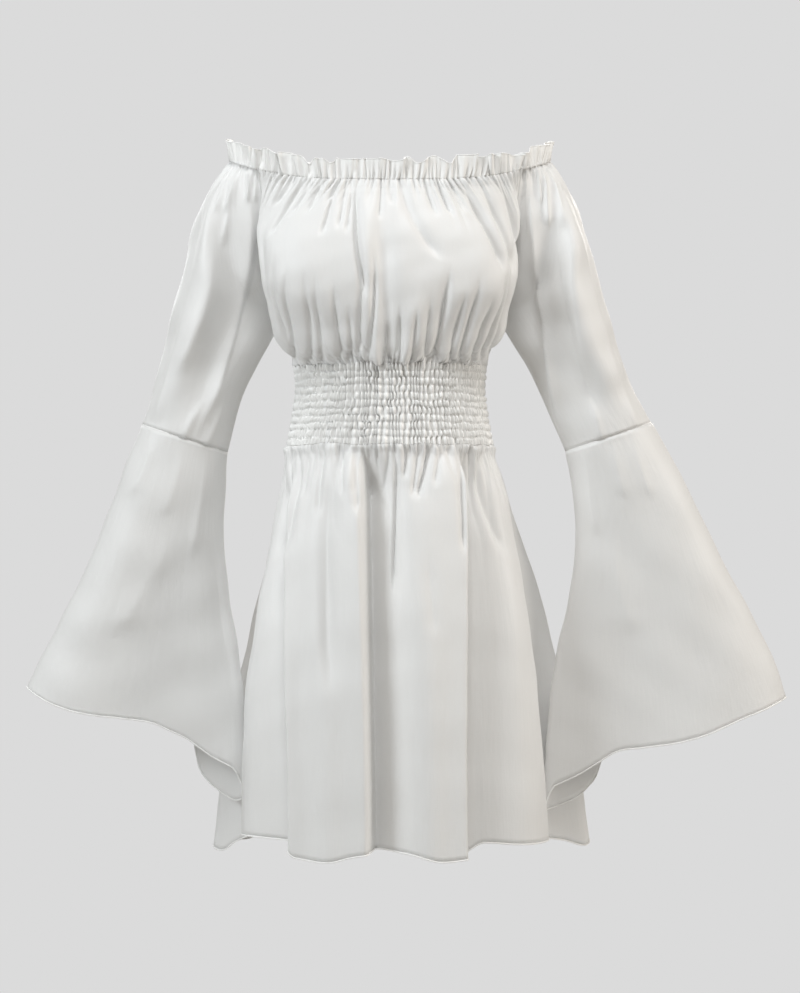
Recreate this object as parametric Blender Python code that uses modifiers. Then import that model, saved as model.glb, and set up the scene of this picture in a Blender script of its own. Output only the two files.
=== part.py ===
"""An off-shoulder dress, worn and filled out, with raglan bell sleeves and a shirred waist.

Every cut piece is its own solid: frill, bodice front and back, waist front and back,
skirt front and back, two sleeves and two bell cuffs.
Metres, +Z up, the front faces -Y and the wearer's left is +X.
The origin is the middle of the elastic neckline, where the wearer's shoulders hold the dress.
Tables hold millimetres and degrees.
"""

import bmesh
import bpy
import numpy as np

COLLECTION = "off_shoulder_dress"
MM = 0.001
CLOTH_WALL = 1.5
SEAM_GAP = 0.3
CLOTH_COLOUR = (0.86, 0.86, 0.85, 1.0)
CLOTH_ROUGHNESS = 0.6

NECK_HALF_WIDTH = 206.0
NECK_FRONT = 100.0
NECK_BACK = 94.0
WAIST_TOP = -250.0
WAIST_BOTTOM = -352.0

# The frill stands on the elastic and leans out, with waves that grow towards its free edge.
FRILL_HEIGHT = 27.0
FRILL_FLARE = 6.0
FRILL_WAVE_AT_ELASTIC = 0.8
FRILL_WAVE_GROWTH = 5.4
FRILL_UNEVEN = (0.7, 1.25)
FRILL_WAVES = 32
COLUMNS_A_WAVE = 4
FRILL_ROWS = 2

# Gathers: how many on each panel, how high, and how far down the panel they run.
BODICE_FRONT_GATHERS = 24
BODICE_BACK_GATHERS = 18
SKIRT_FRONT_GATHERS = 24
SKIRT_BACK_GATHERS = 20
GATHER_UNEVEN = (0.55, 1.0)
NECK_GATHER_HEIGHT = 3.0
BODICE_GATHER_HEIGHT = 3.6
SKIRT_GATHER_HEIGHT = 6.0
SLEEVE_GATHER_HEIGHT = 2.4
NECK_GATHERS_END = 0.45
WAIST_GATHERS_START = 0.62
SKIRT_GATHERS_END = 0.55

SHIRRED_ROWS = 10
SHIRRED_PUFFS = 18
PUFF_HEIGHT = 3.6
PUFF_UNEVEN = (0.7, 1.0)
WAIST_INNER_ROWS = 3

# Rows and columns of each piece's surface. Rows meet along the raglan and side seams.
RAGLAN_ROWS = 5
BODICE_SIDE_ROWS = 3
SLEEVE_LOWER_ROWS = 5
SLEEVE_COLUMNS = 28
BELL_ROWS = 7
BELL_COLUMNS = 28
SKIRT_ROWS = 9
ROWS_CLOSER_AT_WAIST = 1.2
SEWN_EDGE_REACH = 0.12


def table(columns, rows):
    """A dictionary of named columns, one array for each."""
    return dict(zip(columns.split(), np.array(rows, float).T))


# The elastic line seen from above and from the front, turning from centre front to centre back.
NECK_LINE = table(
    "turn height",
    [
        (0, -22),
        (20, -20),
        (35, -15),
        (54, -3),
        (72, 9),
        (90, 17),
        (110, 15),
        (126, 9),
        (150, 2),
        (180, -2),
    ],
)

# The raglan seams, from the elastic line down to the underarm point.
RAGLAN = table(
    "down across front back height_front height_back",
    [
        (0.00, 166.7, -58.8, 55.3, -3, 9),
        (0.30, 161, -47, 50, -50, -44),
        (0.60, 151, -30, 41, -102, -99),
        (0.85, 142, -8, 26, -150, -149),
        (1.00, 138, 10, 10, -178, -178),
    ],
)

# The bodice side seams, from the underarm point down to the waist.
BODICE_SIDE = table(
    "down across along height",
    [(0.0, 138, 10, -178), (0.5, 134, 5, -214), (1.0, 120, 0, -250)],
)
UNDERARM_DOWN = 0.72

BODICE_FRONT = table(
    "down half_width face middle wrap height",
    [
        (0.00, 168, -100, -50, 80, -22),
        (0.12, 169, -113, -48, 94, -50),
        (0.30, 170, -128, -46, 108, -100),
        (0.46, 169, -131, -44, 106, -142),
        (0.62, 163, -126, -40, 107, -180),
        (0.80, 153, -117, -32, 110, -216),
        (0.93, 137, -106, -14, 100, -241),
        (1.00, 120, -92, 0, 90, -250),
    ],
)

BODICE_BACK = table(
    "down half_width face middle wrap height",
    [
        (0.00, 168, 94, 46, 80, -2),
        (0.12, 168, 100, 44, 90, -36),
        (0.30, 164, 104, 40, 98, -88),
        (0.50, 152, 101, 30, 95, -142),
        (0.70, 144, 96, 18, 93, -194),
        (0.90, 132, 91, 6, 94, -235),
        (1.00, 120, 80, 0, 90, -250),
    ],
)

# Waist sections: the shirred band is narrowest just under its upper edge.
WAIST = table(
    "down half_width front back",
    [
        (0.0, 120, 92, 80),
        (0.3, 118, 90, 78),
        (0.6, 122, 92, 81),
        (1.0, 129, 98, 88),
    ],
)

SKIRT_FRONT = table(
    "down half_right half_left face middle wrap",
    [
        (0.00, 129, 129, -98, 0, 90),
        (0.10, 141, 148, -110, -4, 95),
        (0.22, 153, 160, -122, -8, 100),
        (0.36, 165, 172, -132, -12, 105),
        (0.50, 176, 183, -140, -16, 110),
        (0.66, 186, 191, -146, -20, 114),
        (0.83, 189, 198, -150, -24, 117),
        (1.00, 190, 203, -152, -26, 118),
    ],
)

SKIRT_BACK = table(
    "down half_right half_left face middle wrap",
    [
        (0.00, 129, 129, 88, 0, 90),
        (0.10, 139, 149, 101, 10, 97),
        (0.22, 153, 170, 114, 26, 106),
        (0.36, 167, 190, 126, 44, 115),
        (0.50, 182, 207, 136, 60, 122),
        (0.66, 203, 230, 144, 72, 127),
        (0.83, 217, 248, 150, 82, 131),
        (1.00, 229, 262, 154, 88, 134),
    ],
)

SKIRT_SIDE = table(
    "down right left along",
    [
        (0.00, 129, 129, 0),
        (0.10, 139, 146, 3),
        (0.22, 151, 158, 8),
        (0.36, 160, 168, 15),
        (0.50, 166, 175, 22),
        (0.66, 170, 179, 30),
        (0.83, 171, 182, 35),
        (1.00, 171, 184, 38),
    ],
)

# Hem heights across each skirt panel, from the wearer's right side seam to the left one.
HEM_FRONT = table(
    "across height",
    [
        (0.00, -860),
        (0.12, -852),
        (0.25, -845),
        (0.31, -846),
        (0.345, -864),
        (0.40, -867),
        (0.45, -858),
        (0.49, -854),
        (0.53, -857),
        (0.58, -866),
        (0.625, -862),
        (0.66, -848),
        (0.72, -852),
        (0.85, -858),
        (1.00, -866),
    ],
)
HEM_BACK = table(
    "across height",
    [
        (0.00, -860),
        (0.06, -876),
        (0.11, -890),
        (0.17, -884),
        (0.30, -876),
        (0.50, -872),
        (0.70, -876),
        (0.83, -876),
        (0.89, -883),
        (0.94, -874),
        (1.00, -866),
    ],
)

# Sleeve sections seen from the front: the outer and inner points, then the section's depth.
# Above the underarm the section is open towards the body, and wrap says how far it goes round.
SLEEVE_RIGHT = table(
    "down out_across out_height in_across in_height middle depth wrap taper",
    [
        (0.00, 206, 17, 167, 3, 0, 58, 100, 0.0),
        (0.13, 228, -10, 161, -46, 2, 62, 115, 0.2),
        (0.27, 249, -48, 152, -100, 6, 70, 130, 0.5),
        (0.40, 262, -98, 143, -148, 9, 80, 150, 0.76),
        (0.50, 274, -142, 138.3, -178, 10, 86, 180, 0.88),
        (0.60, 285, -182, 154, -212, 12, 80, 180, 0.72),
        (0.72, 293, -221, 173, -246, 14, 66, 180, 0.35),
        (0.86, 307, -272, 194, -290, 15, 54, 180, 0.1),
        (1.00, 324, -324, 212.5, -360, 16, 50, 180, 0.0),
    ],
)
SLEEVE_LEFT = table(
    "down out_across out_height in_across in_height middle depth wrap taper",
    [
        (0.00, 206, 17, 167, 3, 0, 58, 100, 0.0),
        (0.13, 228, -14, 161, -46, 2, 62, 115, 0.2),
        (0.27, 247, -54, 152, -100, 6, 70, 130, 0.5),
        (0.40, 260, -100, 143, -148, 9, 80, 150, 0.76),
        (0.50, 272, -147, 138.3, -178, 10, 86, 180, 0.88),
        (0.60, 284, -187, 155, -210, 12, 80, 180, 0.72),
        (0.72, 296, -226, 178, -246, 14, 66, 180, 0.35),
        (0.86, 316, -277, 202, -296, 15, 54, 180, 0.1),
        (1.00, 341, -321, 229.5, -359, 16, 50, 180, 0.0),
    ],
)
SLEEVE_UNDERARM_DOWN = 0.5

# Bell cuff sections: the outer and inner points seen from the front, and the depths of its two walls.
BELL_RIGHT = table(
    "down out_across out_height in_across in_height middle front back taper",
    [
        (0.00, 324, -324, 212.5, -360, 16, 50, 50, 0.0),
        (0.15, 348, -384, 215.5, -415, 16, 49, 50, 0.1),
        (0.32, 375, -455, 217, -480, 17, 49, 52, 0.2),
        (0.50, 405, -528, 210, -548, 18, 50, 54, 0.35),
        (0.68, 436, -587, 198, -625, 19, 52, 56, 0.5),
        (0.84, 457, -629, 189, -710, 20, 54, 58, 0.6),
        (1.00, 475, -667, 186, -810, 20, 56, 60, 0.6),
    ],
)
BELL_LEFT = table(
    "down out_across out_height in_across in_height middle front back taper",
    [
        (0.00, 341, -321, 229.5, -359, 16, 50, 50, 0.0),
        (0.15, 377, -382, 240, -418, 16, 49, 50, 0.1),
        (0.32, 409, -447, 243, -480, 17, 49, 52, 0.2),
        (0.50, 440, -508, 235, -545, 18, 50, 54, 0.35),
        (0.68, 470, -566, 217, -625, 19, 52, 56, 0.5),
        (0.84, 500, -625, 205, -725, 20, 54, 58, 0.6),
        (1.00, 518, -680, 199, -830, 20, 56, 60, 0.6),
    ],
)

# How far the bell hems lie above the straight line between the outer and inner points.
BELL_HEM_RIGHT = table(
    "across front back",
    [
        (0.00, 0, 0),
        (0.09, -1, 6),
        (0.20, 3, 16),
        (0.32, 13, 28),
        (0.45, 27, 42),
        (0.61, 40, 54),
        (0.72, 40, 48),
        (0.78, 36, -3),
        (0.85, 31, -14),
        (0.93, 29, -17),
        (1.00, 0, 0),
    ],
)
BELL_HEM_LEFT = table(
    "across front back",
    [
        (0.00, 0, 0),
        (0.10, 2, 8),
        (0.20, 5, 16),
        (0.32, 6, 22),
        (0.43, 11, 30),
        (0.60, 27, 42),
        (0.71, 37, 46),
        (0.78, 33, 4),
        (0.87, 28, -6),
        (0.95, 27, -4),
        (1.00, 0, 0),
    ],
)

# A bell's folds are calmer towards its inner point, which hangs beside the skirt.
BELL_INNER_CALM = 0.75

# Folds: where each runs at the top and bottom of its panel, its half width across the panel,
# how far down it starts and ends, and its height. A height below 0 is a trough.
FOLD_GROWS_OVER = 0.35
FOLD_FADES_OVER = 0.25
SKIRT_FRONT_FOLDS = table(
    "top bottom half_width start end height",
    [
        (0.13, 0.255, 0.040, 0.05, 2.0, 9),
        (0.17, 0.322, 0.022, 0.05, 2.0, -22),
        (0.313, 0.384, 0.050, 0.10, 2.0, 12),
        (0.41, 0.462, 0.022, 0.02, 2.0, 13),
        (0.443, 0.492, 0.022, 0.02, 2.0, -26),
        (0.58, 0.566, 0.050, 0.10, 2.0, 10),
        (0.72, 0.630, 0.022, 0.05, 2.0, 13),
        (0.79, 0.664, 0.022, 0.05, 2.0, -22),
        (0.905, 0.748, 0.045, 0.10, 2.0, 8),
    ],
)
SKIRT_BACK_FOLDS = table(
    "top bottom half_width start end height",
    [
        (0.16, 0.14, 0.045, 0.08, 2.0, 10),
        (0.28, 0.27, 0.040, 0.05, 2.0, -22),
        (0.40, 0.39, 0.055, 0.05, 2.0, 14),
        (0.52, 0.52, 0.045, 0.03, 2.0, -26),
        (0.63, 0.64, 0.055, 0.05, 2.0, 15),
        (0.74, 0.76, 0.040, 0.05, 2.0, -20),
        (0.86, 0.88, 0.045, 0.08, 2.0, 9),
    ],
)
BODICE_FRONT_FOLDS = table(
    "top bottom half_width start end height",
    [
        (0.16, 0.20, 0.028, 0.02, 0.80, -5),
        (0.29, 0.27, 0.110, 0.10, 0.78, 11),
        (0.36, 0.38, 0.020, 0.60, 1.2, -5),
        (0.45, 0.47, 0.022, 0.05, 1.2, 6),
        (0.48, 0.50, 0.020, 0.05, 1.2, -7),
        (0.58, 0.54, 0.025, 0.40, 1.2, 5),
        (0.66, 0.62, 0.020, 0.55, 1.2, -5),
        (0.71, 0.73, 0.110, 0.10, 0.78, 11),
        (0.84, 0.80, 0.028, 0.02, 0.80, -6),
    ],
)
BODICE_BACK_FOLDS = table(
    "top bottom half_width start end height",
    [
        (0.24, 0.27, 0.045, 0.02, 0.90, 5),
        (0.38, 0.40, 0.035, 0.05, 1.2, -6),
        (0.52, 0.51, 0.045, 0.02, 1.2, 6),
        (0.66, 0.62, 0.035, 0.10, 1.2, -6),
        (0.80, 0.76, 0.045, 0.02, 0.90, 5),
    ],
)
# On a sleeve the folds go round from the front seam edge, over the outside, to the back one.
SLEEVE_FOLDS = table(
    "top bottom half_width start end height",
    [
        (0.22, 0.20, 0.050, 0.08, 1.0, 6),
        (0.33, 0.30, 0.040, 0.04, 1.0, -7),
        (0.44, 0.40, 0.050, 0.08, 1.0, 5),
        (0.56, 0.54, 0.040, 0.05, 1.0, -6),
        (0.68, 0.70, 0.050, 0.08, 1.0, 6),
        (0.80, 0.82, 0.040, 0.05, 1.0, -6),
    ],
)
# On a bell cuff the folds go round from the outer point, over the front, inner point and back.
BELL_FOLDS = table(
    "top bottom half_width start end height",
    [
        (0.17, 0.16, 0.060, 0.10, 2.0, -4),
        (0.30, 0.31, 0.050, 0.15, 2.0, 5),
        (0.62, 0.63, 0.045, 0.10, 2.0, 9),
        (0.71, 0.72, 0.040, 0.10, 2.0, -12),
        (0.80, 0.81, 0.045, 0.10, 2.0, 10),
        (0.90, 0.90, 0.040, 0.15, 2.0, -9),
    ],
)


def smooth_curve(xs, ys, at):
    """Values of a smooth curve through the points, which never swings past them."""
    at = np.asarray(at, float)
    step = np.diff(xs)
    slope = np.diff(ys) / step
    product = slope[:-1] * slope[1:]
    total = slope[:-1] + slope[1:]
    inner = np.where(product > 0, 2 * product / np.where(total == 0, 1, total), 0)
    tangent = np.concatenate([slope[:1], inner, slope[-1:]])
    i = np.clip(np.searchsorted(xs, at, side="right") - 1, 0, len(xs) - 2)
    t = np.clip((at - xs[i]) / step[i], 0, 1)
    start = (2 * t**3 - 3 * t**2 + 1) * ys[i] + (t**3 - 2 * t**2 + t) * step[i] * tangent[i]
    end = (3 * t**2 - 2 * t**3) * ys[i + 1] + (t**3 - t**2) * step[i] * tangent[i + 1]
    return start + end


def read(rows, column, at):
    """A named column of a table, read between its rows."""
    first = next(iter(rows))
    return smooth_curve(rows[first], rows[column], at)


def eased(t):
    t = np.clip(t, 0, 1)
    return t * t * (3 - 2 * t)


def points(x, y, z):
    return np.stack(np.broadcast_arrays(x, y, z), axis=-1)


def neck_line(turn):
    """Points on the elastic line. turn is in radians from centre front, positive to the wearer's left."""
    deep = np.where(np.cos(turn) > 0, NECK_FRONT, NECK_BACK)
    height = read(NECK_LINE, "height", np.degrees(np.arccos(np.cos(turn))))
    return points(NECK_HALF_WIDTH * np.sin(turn), -deep * np.cos(turn), height)


def seam_turn():
    """How far round the neck line the raglan seams lie."""
    return np.arcsin(RAGLAN["across"][0] / NECK_HALF_WIDTH)


def waist_line(down, across, front, inset=0.0):
    """Points on the waist. across runs from the wearer's right side seam, 0, to the left one, 1."""
    turn = (across - 0.5) * np.pi
    half = read(WAIST, "half_width", down) - inset
    deep = read(WAIST, "front" if front else "back", down) - inset
    height = WAIST_TOP + (WAIST_BOTTOM - WAIST_TOP) * down
    side = -1 if front else 1
    return points(half * np.sin(turn), side * deep * np.cos(turn), height)


def arc(across, down, rows, side, half_right, half_left):
    """A panel's plain section: part of an oval that wraps round past its widest points."""
    wrap = np.radians(read(rows, "wrap", down))
    turn = (across * 2 - 1) * wrap
    half = np.where(turn < 0, half_right, half_left)
    middle = read(rows, "middle", down)
    deep = np.abs(read(rows, "face", down) - middle)
    return half * np.sin(turn), middle + side * deep * np.cos(turn)


def held_at_edges(grid, down, top, bottom, first, last, reach_down=0.3, reach_across=0.2):
    """The grid eased onto its four edge lines. Rows run down and columns run across."""
    down = down[..., None]
    across = np.linspace(0, 1, grid.shape[1])[None, :, None]
    grid = grid + (top - grid[0])[None] * eased(1 - down / reach_down)
    grid = grid + (bottom - grid[-1])[None] * eased(1 - (1 - down) / reach_down)
    to_first = first[:, None] - grid[:, :1]
    to_last = last[:, None] - grid[:, -1:]
    near_first = eased(1 - across / reach_across)
    return grid + to_first * near_first + to_last * near_first[:, ::-1]


def outward(grid, closed=False):
    """Unit normals of a grid whose columns run anticlockwise seen from above."""
    if closed:
        along = np.roll(grid, -1, axis=1) - np.roll(grid, 1, axis=1)
    else:
        along = np.gradient(grid, axis=1)
    normal = np.cross(np.gradient(grid, axis=0), along)
    return normal / np.maximum(np.linalg.norm(normal, axis=-1, keepdims=True), 1e-9)


def raised(grid, height, down, way, sewn_below=True, closed=False):
    """The grid with its folds raised, level along the sewn edges so that neighbours stay clear."""
    normal = outward(grid, closed) * way
    level = eased(down / SEWN_EDGE_REACH)
    if sewn_below:
        level = level * eased((1 - down) / SEWN_EDGE_REACH)
    normal[..., 2] *= level
    return grid + normal * height[..., None]


def along_folds(column, down, rows):
    """Where a panel's columns lie across it, so that each fold runs down one column."""
    label = np.concatenate([[0], (rows["top"] + rows["bottom"]) / 2, [1]])
    top = smooth_curve(label, np.concatenate([[0], rows["top"], [1]]), column)
    bottom = smooth_curve(label, np.concatenate([[0], rows["bottom"], [1]]), column)
    return top + (bottom - top) * down


def folds(column, down, rows):
    """Heights of a panel's large folds."""
    height = np.zeros(np.broadcast(column, down).shape)
    for top, bottom, half_width, start, end, high in zip(*rows.values()):
        shape = np.exp(-(((column - (top + bottom) / 2) / half_width) ** 2))
        grown = eased((down - start) / FOLD_GROWS_OVER) * eased((end - down) / FOLD_FADES_OVER)
        height = height + high * shape * grown
    return height


def gathers(count, seed):
    """One height for each column: ridges and valleys in turn, uneven as gathered cloth is."""
    uneven = np.random.default_rng(seed).uniform(*GATHER_UNEVEN, count * 2 + 1)
    return uneven * np.where(np.arange(count * 2 + 1) % 2, 1.0, -1.0)


def edge_fade(across, width=0.06):
    """0 at a panel's side seams and 1 away from them."""
    return eased(across / width) * eased((1 - across) / width)


def raglan_seam(side, down, front):
    """The raglan seam of one side, on the front or on the back, down to the underarm point."""
    face = "front" if front else "back"
    return points(
        side * read(RAGLAN, "across", down),
        read(RAGLAN, face, down),
        read(RAGLAN, "height_" + face, down),
    )


def bodice_side_seam(side, down):
    return points(
        side * read(BODICE_SIDE, "across", down),
        read(BODICE_SIDE, "along", down),
        read(BODICE_SIDE, "height", down),
    )


def skirt_side_seam(side, down, hem):
    half = read(SKIRT_SIDE, "left" if side > 0 else "right", down)
    height = WAIST_BOTTOM + (hem - WAIST_BOTTOM) * down
    return points(side * half, read(SKIRT_SIDE, "along", down), height)


def split_rows(first_part, first_rows, other_rows):
    """Row places down a piece, with a row exactly where its first part ends."""
    above = np.linspace(0, first_part, first_rows + 1)
    below = np.linspace(first_part, 1, other_rows + 1)[1:]
    return np.concatenate([above, below])[:, None]


def bodice_side_edge(side, down, front):
    """The raglan seam down to the underarm, then the side seam down to the waist."""
    sleeve_part = raglan_seam(side, np.minimum(down / UNDERARM_DOWN, 1), front)
    side_part = bodice_side_seam(side, np.maximum(down - UNDERARM_DOWN, 0) / (1 - UNDERARM_DOWN))
    return np.where((down < UNDERARM_DOWN)[:, None], sleeve_part, side_part)


def bodice_grid(front, count, fold_rows):
    """A bodice panel, from the neck elastic and the raglan seams down to the waist seam."""
    column = np.linspace(0, 1, count * 2 + 1)[None, :]
    down = split_rows(UNDERARM_DOWN, RAGLAN_ROWS, BODICE_SIDE_ROWS)
    across = along_folds(column, down, fold_rows)
    section = BODICE_FRONT if front else BODICE_BACK
    side = -1 if front else 1
    half = read(section, "half_width", down)
    x, y = arc(across, down, section, side, half, half)
    grid = points(x, y, read(section, "height", down) + 0 * across)
    turn = (across[0] * 2 - 1) * seam_turn()
    top = neck_line(turn if front else np.pi - turn)
    bottom = waist_line(0.0, across[-1], front)
    edges = [bodice_side_edge(s, down[:, 0], front) for s in (-1, 1)]
    grid = held_at_edges(grid, down, top, bottom, *edges)
    at_neck = NECK_GATHER_HEIGHT * eased((NECK_GATHERS_END - down) / 0.3)
    at_waist = BODICE_GATHER_HEIGHT * eased((down - WAIST_GATHERS_START) / 0.2)
    height = gathers(count, count)[None] * (at_neck + at_waist) + folds(column, down, fold_rows)
    return raised(grid, height * edge_fade(column), down, -side)


def skirt_grid(front, count, fold_rows):
    """A skirt panel, from the waist seam down to the hem."""
    column = np.linspace(0, 1, count * 2 + 1)[None, :]
    down = np.linspace(0, 1, SKIRT_ROWS + 1)[:, None] ** ROWS_CLOSER_AT_WAIST
    across = along_folds(column, down, fold_rows)
    section = SKIRT_FRONT if front else SKIRT_BACK
    side = -1 if front else 1
    halves = [read(section, name, down) for name in ("half_right", "half_left")]
    x, y = arc(across, down, section, side, *halves)
    hem = read(HEM_FRONT if front else HEM_BACK, "height", across)
    grid = points(x, y, WAIST_BOTTOM + (hem - WAIST_BOTTOM) * down)
    top = waist_line(1.0, across[0], front)
    edges = [skirt_side_seam(s, down[:, 0], hem[-1, end]) for s, end in ((-1, 0), (1, -1))]
    grid = held_at_edges(grid, down, top, grid[-1], *edges, reach_across=0.12)
    grown = SKIRT_GATHER_HEIGHT * (0.4 + 0.6 * eased(down / 0.12))
    height = gathers(count, count)[None] * grown * eased((SKIRT_GATHERS_END - down) / 0.45)
    height = height + folds(column, down, fold_rows)
    return raised(grid, height * edge_fade(column), down, -side, sewn_below=False)


def outer_and_inner(side, section, down):
    """The two ends of each section of a sleeve or cuff, as seen from the front."""
    return [
        points(side * read(section, end + "_across", down), 0, read(section, end + "_height", down))
        for end in ("out", "in")
    ]


def sleeve_grid(side, section):
    """A raglan sleeve from the neck line to the elbow seam, open above the underarm."""
    across = np.linspace(0, 1, SLEEVE_COLUMNS + 1)[None, :]
    down = split_rows(SLEEVE_UNDERARM_DOWN, RAGLAN_ROWS, SLEEVE_LOWER_ROWS)
    is_open = down[:, 0] < SLEEVE_UNDERARM_DOWN
    wrap = np.where(is_open[:, None], np.radians(read(section, "wrap", down)), np.pi)
    turn = (across * 2 - 1) * wrap
    out, inner = outer_and_inner(side, section, down)
    half = (out - inner) / (1 - np.cos(wrap))[..., None]
    grid = out - half + half * np.cos(turn)[..., None]
    inward = (1 - np.cos(turn)) / 2
    depth = read(section, "depth", down) * (1 - read(section, "taper", down) * inward)
    grid[..., 1] = read(section, "middle", down) + depth * np.sin(turn)
    top = neck_line(side * (seam_turn() + across[0] * (np.pi - 2 * seam_turn())))
    seam_down = np.minimum(down[:, 0] / SLEEVE_UNDERARM_DOWN, 1)
    edges = [
        np.where(is_open[:, None], raglan_seam(side, seam_down, front), grid[:, end])
        for front, end in ((True, 0), (False, -1))
    ]
    grid = held_at_edges(grid, down, top, grid[-1], *edges, reach_across=0.3)
    ripple = SLEEVE_GATHER_HEIGHT * np.where(np.arange(SLEEVE_COLUMNS + 1) % 2, -1.0, 1.0)
    height = ripple * eased((NECK_GATHERS_END - down) / 0.35) + folds(across, down, SLEEVE_FOLDS)
    grid = raised(grid, height * edge_fade(across, 0.1), down, -side)
    sewn = trimmed(grid, left=False, right=False)
    sewn[is_open] = trimmed(grid, bottom=False)[is_open]
    return sewn


def bell_grid(side, section, hem):
    """A bell cuff from the elbow seam to its hem, closed all round."""
    across = (np.arange(BELL_COLUMNS) / BELL_COLUMNS)[None, :]
    down = np.linspace(0, 1, BELL_ROWS + 1)[:, None]
    turn = across * 2 * np.pi
    inward = (1 - np.cos(turn)) / 2
    on_front = np.sin(turn) >= 0
    out, inner = outer_and_inner(side, section, down)
    grid = out + (inner - out) * inward[..., None]
    deep = np.where(on_front, read(section, "front", down), read(section, "back", down))
    narrowed = 1 - read(section, "taper", down) * inward
    grid[..., 1] = read(section, "middle", down) - deep * np.sin(turn) * narrowed
    lift = np.where(on_front, read(hem, "front", inward), read(hem, "back", inward))
    grid[..., 2] += lift * down**2
    height = folds(across, down, BELL_FOLDS) * (1 - BELL_INNER_CALM * inward)
    grid = raised(grid, height, down, side, sewn_below=False, closed=True)
    return trimmed(grid, left=False, right=False, bottom=False)


def frill_grid():
    """The gathered heading above the elastic, closed all round, anticlockwise seen from above."""
    columns = FRILL_WAVES * COLUMNS_A_WAVE
    turn = np.arange(columns) / columns * 2 * np.pi
    turn = np.where(turn > np.pi, turn - 2 * np.pi, turn)[None, :]
    up = np.linspace(0, 1, FRILL_ROWS + 1)[:, None]
    out = points(np.sin(turn), -np.cos(turn), 0)
    uneven = np.random.default_rng(5).uniform(*FRILL_UNEVEN, FRILL_WAVES)
    uneven = np.repeat(uneven, COLUMNS_A_WAVE)
    wave = np.sin(np.arange(columns) * 2 * np.pi / COLUMNS_A_WAVE) * uneven
    outwards = FRILL_FLARE * up + wave * (FRILL_WAVE_AT_ELASTIC + FRILL_WAVE_GROWTH * up)
    grid = neck_line(turn) + out * outwards[..., None]
    grid[..., 2] += SEAM_GAP + FRILL_HEIGHT * up * (0.93 + 0.07 * uneven)
    return grid[::-1]


def trimmed(grid, left=True, right=True, top=True, bottom=True):
    """The grid with half a seam gap taken off its sewn edges."""
    grid = grid.copy()
    for wanted, edge, inner in (
        (left, np.s_[:, 0], np.s_[:, 1]),
        (right, np.s_[:, -1], np.s_[:, -2]),
        (top, np.s_[0], np.s_[1]),
        (bottom, np.s_[-1], np.s_[-2]),
    ):
        if wanted:
            way = grid[inner] - grid[edge]
            way = way / np.maximum(np.linalg.norm(way, axis=-1, keepdims=True), 1e-9)
            grid[edge] = grid[edge] + way * SEAM_GAP / 2
    return grid


def cloth_material(name):
    made = bpy.data.materials.new(name + "_cloth")
    made.use_nodes = True
    shader = made.node_tree.nodes["Principled BSDF"]
    shader.inputs["Base Color"].default_value = CLOTH_COLOUR
    shader.inputs["Roughness"].default_value = CLOTH_ROUGHNESS
    shader.inputs["Metallic"].default_value = 0.0
    return made


def new_piece(name, mesh):
    piece = bpy.data.objects.new(name, mesh)
    bpy.data.collections[COLLECTION].objects.link(piece)
    mesh.materials.append(cloth_material(name))
    return piece


def sheet_mesh(name, grid, closed=False, faces_out=True):
    """An open cloth surface from a grid of points."""
    rows, columns = grid.shape[:2]
    loops = columns if closed else columns - 1
    corners = []
    for row in range(rows - 1):
        for column in range(loops):
            after = (column + 1) % columns
            face = [(row, column), (row + 1, column), (row + 1, after), (row, after)]
            corners.append([r * columns + c for r, c in (face if faces_out else face[::-1])])
    mesh = bpy.data.meshes.new(name)
    mesh.from_pydata((grid.reshape(-1, 3) * MM).tolist(), [], corners)
    return mesh


def underarm_joined(mesh):
    """Welds the edges that a sleeve's underarm seam brings together."""
    work = bmesh.new()
    work.from_mesh(mesh)
    bmesh.ops.remove_doubles(work, verts=work.verts, dist=SEAM_GAP / 4 * MM)
    work.to_mesh(mesh)
    work.free()


def cloth_wall(name, mesh):
    """A cloth piece: the outer surface, thickened inwards."""
    piece = new_piece(name, mesh)
    wall = piece.modifiers.new("cloth thickness", "SOLIDIFY")
    wall.thickness = CLOTH_WALL * MM
    wall.offset = -1


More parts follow.
